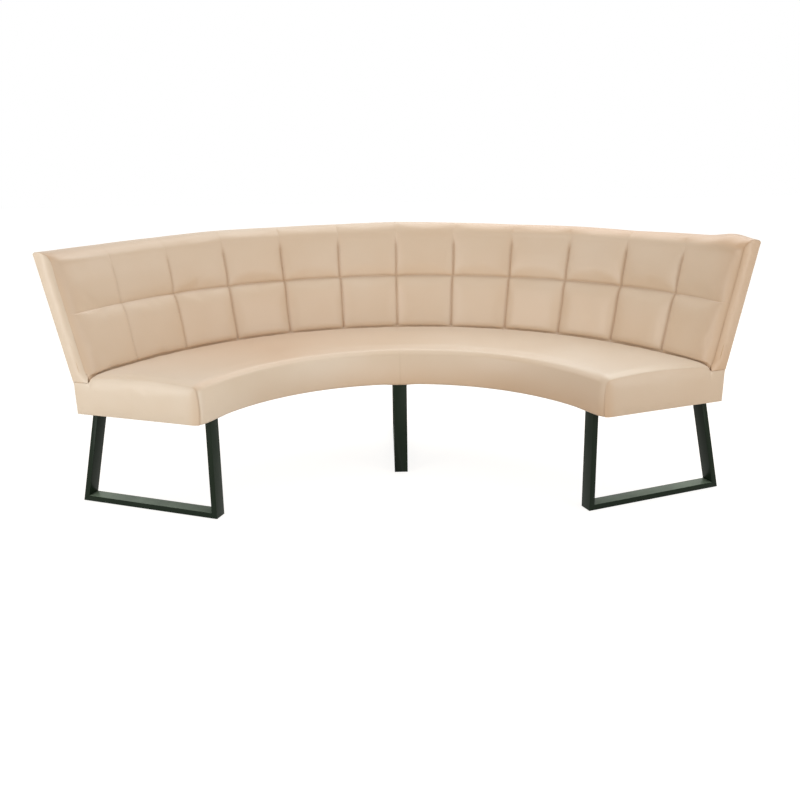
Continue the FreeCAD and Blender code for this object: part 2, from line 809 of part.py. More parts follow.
def main():
    """Build every piece and write each to its own file."""
    parts = {"leg_bolts": leg_bolts(), "leg_tee_nuts": leg_tee_nuts()}
    for name, side in leg_sides.items():
        parts.update(leg_parts(name, side))
    parts.update(seat_parts())
    parts.update(back_parts())
    os.makedirs("parts", exist_ok=True)
    shift = origin_shift()
    print("origin lies %.3f mm in front of the axis" % shift.y)
    for name, shape in parts.items():
        shape.translate(shift)
        shape.exportStep("parts/%s.step" % name)
        box = shape.BoundBox
        print("%-26s solids %2d valid %s volume %.0f box %.1f %.1f %.1f to %.1f %.1f %.1f" % (
            name, len(shape.Solids), shape.isValid(), shape.Volume,
            box.XMin, box.YMin, box.ZMin, box.XMax, box.YMax, box.ZMax))


main()
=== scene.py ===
"""Looks of the curved upholstered bench, in metres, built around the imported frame."""

import json
import logging
import math
from dataclasses import dataclass
from enum import Enum

import bmesh
import bpy
import numpy as np
from mathutils import Matrix, Vector


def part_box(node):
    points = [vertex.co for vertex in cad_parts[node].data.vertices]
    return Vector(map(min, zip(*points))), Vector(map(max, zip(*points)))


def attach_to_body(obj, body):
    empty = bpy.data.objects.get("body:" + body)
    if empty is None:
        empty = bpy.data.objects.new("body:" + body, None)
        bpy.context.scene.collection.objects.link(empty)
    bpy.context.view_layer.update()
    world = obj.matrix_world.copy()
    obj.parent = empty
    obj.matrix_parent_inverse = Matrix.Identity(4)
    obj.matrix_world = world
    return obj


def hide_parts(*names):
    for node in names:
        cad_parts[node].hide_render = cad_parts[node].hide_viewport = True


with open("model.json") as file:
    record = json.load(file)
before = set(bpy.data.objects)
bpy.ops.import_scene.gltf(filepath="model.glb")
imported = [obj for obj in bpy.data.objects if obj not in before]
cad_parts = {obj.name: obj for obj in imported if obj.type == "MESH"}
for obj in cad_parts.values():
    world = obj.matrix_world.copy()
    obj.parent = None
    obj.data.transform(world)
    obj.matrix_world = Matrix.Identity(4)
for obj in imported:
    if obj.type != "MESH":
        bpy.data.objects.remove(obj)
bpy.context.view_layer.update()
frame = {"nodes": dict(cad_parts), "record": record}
BODY = "root"
CLOSE_LINES = (0.0, 0.0012, 0.003, 0.006, 0.011)
SEAM_LINE_WIDTH = 0.003
log = logging.getLogger("bench")

Place = tuple[float, float, float]
Colour = tuple[float, float, float, float]
Numbers = tuple[float, ...]
SeamLines = list[tuple[np.ndarray, np.ndarray]]


class Side(Enum):
    """The two flat ends of the bench."""

    LEFT = -1
    RIGHT = 1


class Slot(Enum):
    """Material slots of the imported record."""

    LEATHER = "cover_leather"
    FOAM = "padding_foam"
    DUST_CLOTH = "dust_cloth"
    PLYWOOD = "plywood"
    HARDBOARD = "hardboard"
    HARDWOOD = "frame_hardwood"
    LEG_PAINT = "leg_paint"
    ZINC = "zinc_fasteners"
    GLIDE = "glide_plastic"


# Plan and section of the bench


@dataclass(frozen=True)
class Plan:
    """The arc that the bench follows, cut by a flat end on each side.

    A radius is measured from the upright axis, an angle from the middle of the bench, and an inset
    square to a flat end. A depth is measured level from the reclined rear face.
    """

    rear_radius: float = 1.165
    half_angle: float = math.radians(69.6)
    recline: float = math.radians(12.7)
    fold_height: float = 0.458

    @property
    def axis_y(self) -> float:
        """Place of the upright axis along y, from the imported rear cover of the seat."""
        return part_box("seat_rear_cover")[1].y - self.rear_radius

    def cone_radius(self, height: np.ndarray, depth: np.ndarray) -> np.ndarray:
        """Radius at a level depth inside the reclined rear face.

        Args:
            height: heights above the floor.
            depth: level depths from the rear face.

        Returns:
            The radii, on a cone whose slope also runs on below the fold.
        """
        return self.rear_radius + (height - self.fold_height) * math.tan(self.recline) - depth

    def end_angle(self, radius: np.ndarray, inset: float) -> np.ndarray:
        """Angle at which a radius meets the plane at an inset from the flat end."""
        return self.half_angle - np.arcsin(inset / radius)

    def swept(self, share: np.ndarray, radius: np.ndarray, height: np.ndarray, inset: float) -> np.ndarray:
        """Points of a surface swept along the arc between the two flat ends.

        Args:
            share: place along the arc, from -1 at the left end to 1 at the right end.
            radius: radius of each point.
            height: height of each point.
            inset: distance of the surface's edges from the flat ends.

        Returns:
            An array of points with the broadcast shape of the inputs and a last axis of three.
        """
        angle = share * self.end_angle(radius, inset)
        flat = np.broadcast_to(height, angle.shape)
        return np.stack([radius * np.sin(angle), self.axis_y + radius * np.cos(angle), flat], axis=-1)

    def on_end(self, side: Side, reach: np.ndarray, height: np.ndarray, inset: np.ndarray) -> np.ndarray:
        """Points on planes parallel to a flat end.

        Args:
            side: which end.
            reach: distance from the axis along the plane.
            height: height above the floor.
            inset: distance of each point inwards from the flat end.

        Returns:
            An array of points with a last axis of three.
        """
        sine, cosine = math.sin(self.half_angle), math.cos(self.half_angle)
        along = side.value * (reach * sine - inset * cosine)
        back = self.axis_y + reach * cosine + inset * sine
        return np.stack([along, back, np.broadcast_to(height, along.shape)], axis=-1)


def dome(share: np.ndarray, power: float = 3.5) -> np.ndarray:
    """Profile that is 0 at shares 0 and 1 and nearly flat at 1 in between."""
    return 1 - np.abs(2 * np.clip(share, 0, 1) - 1) ** power


def eased(share: np.ndarray) -> np.ndarray:
    """Smooth rise from 0 to 1 with level ends."""
    share = np.clip(share, 0, 1)
    return share * share * (3 - 2 * share)


def bell(distance: np.ndarray, width: float) -> np.ndarray:
    """Bump that is 1 at no distance and fades over a width on both sides."""
    return np.exp(-(distance / width) ** 2)


def seam_spacing(length: float, step: float, first: bool = True, last: bool = True) -> np.ndarray:
    """Shares along a panel's side, with close lines beside a seam and even ones between.

    Args:
        length: length of the side.
        step: spacing of the even lines.
        first: whether a seam lies at the start.
        last: whether a seam lies at the end.

    Returns:
        Rising shares from 0 to 1.
    """
    close = np.array(CLOSE_LINES)
    start = close if first else np.zeros(1)
    end = length - close[::-1] if last else np.full(1, length)
    count = max(int(round((end[0] - start[-1]) / step)), 2)
    middle = np.linspace(start[-1], end[0], count + 1)[1:-1]
    return np.concatenate([start, middle, end]) / length


def path_at(points: np.ndarray, shares: np.ndarray) -> np.ndarray:
    """Points at shares of the length of a polyline."""
    steps = np.linalg.norm(np.diff(points, axis=0), axis=1)
    length = np.concatenate([[0], np.cumsum(steps)])
    return np.stack([np.interp(shares * length[-1], length, values) for values in points.T], axis=-1)


# Mesh making


def add_object(name: str, data: bpy.types.ID) -> bpy.types.Object:
    """Put a new object in the scene."""
    item = bpy.data.objects.new(name, data)
    bpy.context.scene.collection.objects.link(item)
    return item


def thick_sheet(name: str, outer: np.ndarray, inner: np.ndarray, **masks: np.ndarray) -> bpy.types.Object:
    """Closed mesh between an outer grid and an inner grid of points.

    Args:
        name: the piece's name.
        outer: grid of points, rows by columns by three.
        inner: grid with as many rows, and any number of columns.
        masks: values from 0 to 1 of each outer point, kept as point attributes of the same names.

    Returns:
        The new object.
    """
    rows, columns = outer.shape[:2]
    deep = inner.shape[1]
    start = rows * columns

    def out(i: int, j: int) -> int:
        """Number of an outer point."""
        return i * columns + j

    def back(i: int, j: int) -> int:
        """Number of an inner point."""
        return start + i * deep + j

    faces = []
    for i in range(rows - 1):
        faces += [(out(i, j), out(i + 1, j), out(i + 1, j + 1), out(i, j + 1)) for j in range(columns - 1)]
        faces += [(back(i, j), back(i, j + 1), back(i + 1, j + 1), back(i + 1, j)) for j in range(deep - 1)]
        faces.append((out(i + 1, 0), out(i, 0), back(i, 0), back(i + 1, 0)))
        faces.append((out(i, columns - 1), out(i + 1, columns - 1), back(i + 1, deep - 1), back(i, deep - 1)))
    caps = len(faces)
    for i in (0, rows - 1):
        faces.append([out(i, j) for j in range(columns)] + [back(i, j) for j in reversed(range(deep))])
    mesh = bpy.data.meshes.new(name)
    points = np.concatenate([outer.reshape(-1, 3), inner.reshape(-1, 3)])
    mesh.from_pydata(points.tolist(), [], faces)
    for key, values in masks.items():
        mask = mesh.attributes.new(key, "FLOAT", "POINT")
        spread = np.broadcast_to(np.clip(values, 0, 1), (rows, columns)).ravel()
        mask.data.foreach_set("value", np.concatenate([spread, np.zeros(rows * deep)]).astype(np.float32))
    work = bmesh.new()
    work.from_mesh(mesh)
    work.faces.ensure_lookup_table()
    bmesh.ops.triangulate(work, faces=work.faces[caps:])
    bmesh.ops.recalc_face_normals(work, faces=work.faces)
    work.to_mesh(mesh)
    work.free()
    mesh.shade_smooth()
    return add_object(name, mesh)


def point_array(mesh: bpy.types.Mesh) -> np.ndarray:
    """Coordinates of a mesh's points."""
    points = np.zeros(len(mesh.vertices) * 3, np.float32)
    mesh.vertices.foreach_get("co", points)
    return points.reshape(-1, 3).astype(float)


def apply_modifiers(piece: bpy.types.Object) -> None:
    """Turn a piece's modifiers into its plain mesh."""
    graph = bpy.context.evaluated_depsgraph_get()
    mesh = bpy.data.meshes.new_from_object(piece.evaluated_get(graph), depsgraph=graph)
    piece.modifiers.clear()
    piece.data = mesh


def subdivide(piece: bpy.types.Object, levels: int = 1) -> None:
    """Smooth a piece by whole subdivision levels."""
    modifier = piece.modifiers.new("smooth", "SUBSURF")
    modifier.levels = levels
    modifier.render_levels = levels
    apply_modifiers(piece)


def panel_grid(sides: tuple[np.ndarray, np.ndarray, np.ndarray, np.ndarray]) -> np.ndarray:
    """Grid of points that fills four sides.

    Args:
        sides: bottom and top from front to rear, then front and rear from bottom to top.

    Returns:
        Rows from front to rear, columns from bottom to top.
    """
    bottom, top, front, rear = sides
    u = np.linspace(0, 1, len(bottom))[:, None, None]
    v = np.linspace(0, 1, len(front))[None, :, None]
    ruled = (1 - v) * bottom[:, None] + v * top[:, None] + (1 - u) * front[None] + u * rear[None]
    corners = ((1 - u) * (1 - v) * bottom[0] + u * (1 - v) * bottom[-1]
               + (1 - u) * v * top[0] + u * v * top[-1])
    return ruled - corners


# Finishes

Finishes = dict[Slot, bpy.types.Material]
Groups = dict[str, bpy.types.NodeTree]


class Graph:
    """A small helper that adds and joins nodes of one tree."""

    def __init__(self, tree: bpy.types.NodeTree) -> None:
        """Keep the tree that nodes are added to."""
        self.tree = tree

    def feed(self, node: bpy.types.Node, inputs: dict) -> bpy.types.Node:
        """Give a node its inputs.

        Args:
            node: the node.
            inputs: values or sockets by input name or number.

        Returns:
            The same node.
        """
        for key, value in inputs.items():
            if isinstance(value, bpy.types.NodeSocket):
                self.tree.links.new(value, node.inputs[key])
            else:
                node.inputs[key].default_value = value
        return node

    def add(self, kind: str, inputs: dict | None = None, **settings: object) -> bpy.types.Node:
        """Add a node.

        Args:
            kind: the node's type.
            inputs: values or sockets by input name or number.
            settings: properties of the node.

        Returns:
            The new node.
        """
        node = self.tree.nodes.new(kind)
        for key, value in settings.items():
            setattr(node, key, value)
        return self.feed(node, inputs or {})

    def math(self, operation: str, *values: float | bpy.types.NodeSocket) -> bpy.types.NodeSocket:
        """Result of a math node on values or sockets."""
        return self.add("ShaderNodeMath", dict(enumerate(values)), operation=operation).outputs[0]

    def vector(self, operation: str, *values: Place | bpy.types.NodeSocket) -> bpy.types.NodeSocket:
        """Result of a vector math node on values or sockets."""
        return self.add("ShaderNodeVectorMath", dict(enumerate(values)), operation=operation).outputs[0]

    def mix(self, factor: bpy.types.NodeSocket, first: Colour | bpy.types.NodeSocket,
            second: Colour) -> bpy.types.NodeSocket:
        """Colour between two colours."""
        return self.add("ShaderNodeMix", {0: factor, 6: first, 7: second}, data_type="RGBA").outputs[2]

    def noise(self, where: bpy.types.NodeSocket, scale: float | bpy.types.NodeSocket, detail: float,
              output: str = "Fac", distortion: float = 0.0) -> bpy.types.NodeSocket:
        """Output of a noise pattern."""
        inputs = {"Vector": where, "Scale": scale, "Detail": detail, "Distortion": distortion}
        return self.add("ShaderNodeTexNoise", inputs).outputs[output]

    def bump(self, height: bpy.types.NodeSocket, strength: float, distance: float) -> bpy.types.NodeSocket:
        """Normal of a surface raised by a height."""
        inputs = {"Height": height, "Strength": strength, "Distance": distance}
        return self.add("ShaderNodeBump", inputs).outputs[0]


def colour(red: int, green: int, blue: int) -> Colour:
    """Linear colour of a plain screen colour from 0 to 255."""
    def linear(value: int) -> float:
        """Linear share of one screen value."""
        share = value / 255
        return share / 12.92 if share <= 0.04045 else ((share + 0.055) / 1.055) ** 2.4
    return linear(red), linear(green), linear(blue), 1.0


def new_material(name: str) -> tuple[bpy.types.Material, Graph, bpy.types.Node, bpy.types.NodeSocket]:
    """Empty node material.

    Args:
        name: the material's name.

    Returns:
        The material, its graph, its Principled shader and the Object coordinates.
    """
    material = bpy.data.materials.new(name)
    material.use_nodes = True
    graph = Graph(material.node_tree)
    shader = material.node_tree.nodes["Principled BSDF"]
    where = graph.add("ShaderNodeTexCoord").outputs["Object"]
    return material, graph, shader, where


def new_group(name: str, inputs: dict[str, float], outputs: tuple[str, ...]) -> bpy.types.NodeTree:
    """Empty shader group with a vector input named Where.

    Args:
        name: the group's name.
        inputs: plain number inputs and their default values.
        outputs: names of the plain number outputs.

    Returns:
        The new group.
    """
    tree = bpy.data.node_groups.new(name, "ShaderNodeTree")
    tree.interface.new_socket("Where", in_out="INPUT", socket_type="NodeSocketVector")
    for key, value in inputs.items():
        tree.interface.new_socket(key, in_out="INPUT", socket_type="NodeSocketFloat").default_value = value
    for key in outputs:
        tree.interface.new_socket(key, in_out="OUTPUT", socket_type="NodeSocketFloat")
    return tree


def grain_group() -> bpy.types.NodeTree:
    """Pebbled grain of leather: cells with fine pores, and broad soft patches."""
    tree = new_group("hide_grain", {"Cells": 620.0, "Patches": 3.0}, ("Height", "Patch"))
    graph = Graph(tree)
    given = graph.add("NodeGroupInput").outputs
    where = given["Where"]
    shift = graph.vector("MULTIPLY", graph.noise(where, 160.0, 2.0, "Color"), (0.0022,) * 3)
    moved = graph.vector("ADD", where, shift)
    cells = graph.add("ShaderNodeTexVoronoi", {"Vector": moved, "Scale": given["Cells"], "Smoothness": 0.35},
                      feature="SMOOTH_F1").outputs["Distance"]
    pores = graph.math("MULTIPLY", graph.noise(where, 1900.0, 1.0), 0.35)
    patch = graph.noise(where, given["Patches"], 3.0)
    graph.add("NodeGroupOutput", {"Height": graph.math("SUBTRACT", pores, cells), "Patch": patch})
    return tree


def wood_group() -> bpy.types.NodeTree:
    """Streaks and pores of raw wood."""
    tree = new_group("wood_streaks", {"Streaks": 30.0, "Stretch": 0.06}, ("Streak", "Height"))
    graph = Graph(tree)
    given = graph.add("NodeGroupInput").outputs
    stretch = graph.add("ShaderNodeCombineXYZ", {0: given["Stretch"], 1: 1.0, 2: 1.0}).outputs[0]
    scaled = graph.vector("MULTIPLY", given["Where"], stretch)
    broad = graph.noise(scaled, given["Streaks"], 6.0, distortion=0.6)
    graph.add("NodeGroupOutput", {"Streak": broad, "Height": graph.noise(scaled, 900.0, 3.0)})
    return tree


def speckle_group() -> bpy.types.NodeTree:
    """Fine even speckle for coatings, cloth and moulded plastic."""
    tree = new_group("fine_speckle", {"Size": 0.001}, ("Height", "Tone"))
    graph = Graph(tree)
    given = graph.add("NodeGroupInput").outputs
    fine = graph.noise(given["Where"], graph.math("DIVIDE", 1.0, given["Size"]), 2.0)
    graph.add("NodeGroupOutput", {"Height": fine, "Tone": graph.noise(given["Where"], 9.0, 4.0)})
    return tree


@dataclass(frozen=True)
class LeatherFinish:
    """Cream leather-look cover with a fine grain and a low sheen, and painted shade mixed in by its shade and
    seam masks.
    """

    name: str = "cream_leather"
    light: Colour = colour(226, 209, 187)
    dark: Colour = colour(222, 202, 177)
    # Painted shade: a brown mixed in where the shade mask says shade falls, and a darker brown along seams
    # and grooves.
    deep: Colour = colour(200, 152, 103)
    crease: Colour = colour(164, 124, 86)
    painted_shade_share: float = 0.6
    crease_share: float = 0.55
    roughness: float = 0.36
    roughness_spread: float = 0.08
    grain_depth: float = 0.00035
    grain_strength: float = 0.5
    sheen: float = 0.3
    sheen_roughness: float = 0.4
    specular: float = 0.6

    def material(self, groups: Groups) -> bpy.types.Material:
        """Build the material from the shared groups."""
        material, graph, shader, where = new_material(self.name)
        grain = graph.add("ShaderNodeGroup", {"Where": where}, node_tree=groups["grain"]).outputs
        patch = {"Value": grain["Patch"], "From Min": 0.35, "From Max": 0.65}
        tone = graph.add("ShaderNodeMapRange", patch).outputs[0]
        base = graph.mix(tone, self.dark, self.light)
        # Painted shade: each mask mixes its brown into the leather's colour.
        tints = {"shade": (self.painted_shade_share, self.deep), "crease": (self.crease_share, self.crease)}
        for key, (share, tint) in tints.items():
            mask = graph.add("ShaderNodeAttribute", attribute_name=key).outputs["Fac"]
            base = graph.mix(graph.math("MULTIPLY", mask, share), base, tint)
        rough = graph.math("MULTIPLY_ADD", tone, self.roughness_spread, self.roughness)
        normal = graph.bump(grain["Height"], self.grain_strength, self.grain_depth)
        graph.feed(shader, {"Base Color": base, "Roughness": rough, "Normal": normal,
                            "Sheen Weight": self.sheen, "Sheen Roughness": self.sheen_roughness,
                            "Specular IOR Level": self.specular})
        return material


@dataclass(frozen=True)
class WoodFinish:
    """Raw wood or board with streaks along its length."""

    name: str
    light: Colour
    dark: Colour
    roughness: float = 0.7
    streaks: float = 30.0
    stretch: float = 0.06
    grain_depth: float = 0.0004
    grain_strength: float = 0.4

    def material(self, groups: Groups) -> bpy.types.Material:
        """Build the material from the shared groups."""
        material, graph, shader, where = new_material(self.name)
        inputs = {"Where": where, "Streaks": self.streaks, "Stretch": self.stretch}
        wood = graph.add("ShaderNodeGroup", inputs, node_tree=groups["wood"]).outputs
        graph.feed(shader, {"Base Color": graph.mix(wood["Streak"], self.dark, self.light),
                            "Normal": graph.bump(wood["Height"], self.grain_strength, self.grain_depth),
                            "Roughness": self.roughness})
        return material


@dataclass(frozen=True)
class SpeckledFinish:
    """Even finish with a fine speckle: coating, plating, moulding, foam or cloth, with painted light on
    upward faces where a colour is given for it.
    """

    name: str
    light: Colour
    dark: Colour
    roughness: float
    metallic: float = 0.0
    size: float = 0.001
    depth: float = 0.0001
    specular: float = 0.5
    # Painted light: a lighter colour on upward faces, standing in for the light that falls on the tops.
    painted_top_light: Colour | None = None
    painted_top_light_from: float = 0.8
    strength: float = 0.5
    roughness_spread: float = 0.06

    def material(self, groups: Groups) -> bpy.types.Material:
        """Build the material from the shared groups."""
        material, graph, shader, where = new_material(self.name)
        inputs = {"Where": where, "Size": self.size}
        speckle = graph.add("ShaderNodeGroup", inputs, node_tree=groups["speckle"]).outputs
        half_tone = graph.math("MULTIPLY", speckle["Tone"], 0.5)
        tone = graph.math("MULTIPLY_ADD", speckle["Height"], 0.5, half_tone)
        base = graph.mix(tone, self.dark, self.light)
        # Painted light: upward faces mixed towards the lighter colour.
        if self.painted_top_light:
            normal = graph.add("ShaderNodeNewGeometry").outputs["Normal"]
            upward = graph.add("ShaderNodeSeparateXYZ", {0: normal}).outputs["Z"]
            inputs = {"Value": upward, "From Min": self.painted_top_light_from}
            lit_top = graph.add("ShaderNodeMapRange", inputs).outputs[0]
            base = graph.mix(graph.math("MULTIPLY", lit_top, tone), base, self.painted_top_light)
        spread = self.roughness_spread
        rough = graph.math("MULTIPLY_ADD", speckle["Tone"], 2 * spread, self.roughness - spread)
        normal = graph.bump(speckle["Height"], self.strength, self.depth)
        graph.feed(shader, {"Base Color": base, "Roughness": rough, "Normal": normal,
                            "Metallic": self.metallic, "Specular IOR Level": self.specular})
        return material


def make_finishes() -> Finishes:
    """Every finish of the bench, by the record's slot."""
    groups = {"grain": grain_group(), "wood": wood_group(), "speckle": speckle_group()}
    finishes = {
        Slot.LEATHER: LeatherFinish(),
        Slot.FOAM: SpeckledFinish("cut_foam", colour(240, 232, 205), colour(222, 208, 170), 0.9,
                                  size=0.002, depth=0.0006),
        Slot.DUST_CLOTH: SpeckledFinish("black_cloth", colour(44, 44, 46), colour(24, 24, 26), 0.85,
                                        size=0.0008, depth=0.0003),
        Slot.PLYWOOD: WoodFinish("birch_ply", colour(214, 184, 142), colour(176, 138, 92)),
        Slot.HARDBOARD: WoodFinish("hardboard", colour(128, 92, 58), colour(92, 62, 38),
                                   streaks=120.0, stretch=1.0),
        Slot.HARDWOOD: WoodFinish("frame_wood", colour(212, 180, 134), colour(168, 128, 82), streaks=45.0),
        # The leg paint gets painted light on its upward faces.
        Slot.LEG_PAINT: SpeckledFinish("dark_powder_coat", colour(34, 45, 33), colour(26, 36, 26), 0.3,
                                       size=0.0012, depth=0.00006, specular=0.08,
                                       painted_top_light=colour(160, 178, 154)),
        Slot.ZINC: SpeckledFinish("zinc_plate", colour(206, 208, 206), colour(170, 172, 168), 0.34,
                                  metallic=1.0, size=0.0015, depth=0.00005),
        Slot.GLIDE: SpeckledFinish("black_plastic", colour(34, 34, 35), colour(22, 22, 23), 0.55,
                                   size=0.0009, depth=0.0001),
    }
    return {slot: finish.material(groups) for slot, finish in finishes.items()}


def dress(piece: bpy.types.Object, finish: bpy.types.Material) -> None:
    """Give a piece one finish."""
    piece.data.materials.clear()
    piece.data.materials.append(finish)


def finish_nodes(finishes: Finishes) -> None:
    """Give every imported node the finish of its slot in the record."""
    for subpart in frame["record"]["subparts"]:
        dress(frame["nodes"][subpart["node"]], finishes[Slot(subpart["material_slot"])])


def attach(piece: bpy.types.Object, slot: Slot, finishes: Finishes, *nodes: str) -> None:
    """Dress a piece and join it to the frame.

    Args:
        piece: the finished object.
        slot: the record's slot that it takes its finish from.
        finishes: every finish.
        nodes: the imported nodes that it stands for.
    """
    dress(piece, finishes[slot])
    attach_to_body(piece, BODY)
    if nodes:
        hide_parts(*nodes)
    faces = len(piece.data.polygons)
    log.info("%s: %d faces, stands for %s", piece.name, faces, ", ".join(nodes) or "no node")


def attach_pad(pad: bpy.types.Object, fill: float, finishes: Finishes, *nodes: str) -> None:
    """Dress a padded piece in leather and join it to the frame."""
    attach(pad, Slot.LEATHER, finishes, *nodes)


# Upholstery


@dataclass(frozen=True)
class Inflation:
    """Swells a closed pad between its sewn lines with a short cloth simulation."""

    cap: float
    frames: int = 16
    quality: int = 6
    mass: float = 0.3
    pressure: float = 3.0
    growth: float = 0.006
    stiffness: float = 25.0
    bending: float = 4.0
    evening: int = 4

    def evened(self, mesh: bpy.types.Mesh, move: np.ndarray, held: np.ndarray) -> np.ndarray:
        """Movement averaged a few times with that of the neighbouring points."""
        ends = np.zeros(len(mesh.edges) * 2, np.int32)
        mesh.edges.foreach_get("vertices", ends)
        count = np.maximum(np.bincount(ends, minlength=len(move)), 1)[:, None]
        for _ in range(self.evening):
            total = np.zeros_like(move)
            np.add.at(total, ends[0::2], move[ends[1::2]])
            np.add.at(total, ends[1::2], move[ends[0::2]])
            move = np.where(held[:, None], 0, (move + total / count) / 2)
        return move

    def swell(self, piece: bpy.types.Object, held: np.ndarray) -> None:
        """Let a pad swell, and keep how far each point moved within the cap.

        Args:
            piece: a closed mesh object.
            held: true for each point that is sewn down or hidden.
        """
        group = piece.vertex_groups.new(name="sewn")
        group.add(np.flatnonzero(held).tolist(), 1.0, "REPLACE")
        cloth = piece.modifiers.new("fill", "CLOTH")
        settings = cloth.settings
        settings.quality = self.quality
        settings.mass = self.mass
        settings.use_pressure = True
        settings.uniform_pressure_force = self.pressure
        settings.effector_weights.gravity = 0
        settings.vertex_group_mass = group.name
        settings.tension_stiffness = self.stiffness
        settings.compression_stiffness = self.stiffness
        settings.shear_stiffness = self.stiffness / 2
        settings.bending_stiffness = self.bending
        settings.shrink_min = -self.growth
        cloth.collision_settings.use_collision = False
        cloth.collision_settings.use_self_collision = False
        cloth.point_cache.frame_end = self.frames
        scene = bpy.context.scene
        for index in range(1, self.frames + 1):
            scene.frame_set(index)
        before = point_array(piece.data)
        shown = piece.evaluated_get(bpy.context.evaluated_depsgraph_get())
        move = self.evened(piece.data, point_array(shown.data) - before, held)
        far = np.linalg.norm(move, axis=1, keepdims=True)
        move *= self.cap * np.tanh(far / self.cap) / np.maximum(far, 1e-9)
        piece.modifiers.clear()
        piece.vertex_groups.clear()
        piece.data.vertices.foreach_set("co", (before + move).astype(np.float32).ravel())
        piece.data.update()
        scene.frame_set(1)
        most = 1000 * float(np.linalg.norm(move, axis=1).max())
        log.info("%s swelled by up to %.1f mm", piece.name, most)


def rolled(distance: np.ndarray, width: float, drop: np.ndarray) -> np.ndarray:
    """Drop of a surface that rolls over towards its edge.

    Args:
        distance: distance from the edge.
        width: distance at which the roll begins.
        drop: how far the edge itself drops.

    Returns:
        The drop at each distance.
    """
    return drop * np.clip(1 - distance / width, 0, 1) ** 2


def swell_face(piece: bpy.types.Object, sewn: np.ndarray, cap: float) -> None:
    """Args:
        piece: a sheet whose outer points come first; its inner points are always held.
        sewn: true for each outer point that a seam holds; the outermost lines are always held.
        cap: the most that a point moves.
    """
    sewn = sewn.copy()
    sewn[[0, -1]] = True
    sewn[:, [0, -1]] = True
    held = np.ones(len(piece.data.vertices), bool)
    held[:sewn.size] = sewn.ravel()
    Inflation(cap).swell(piece, held)


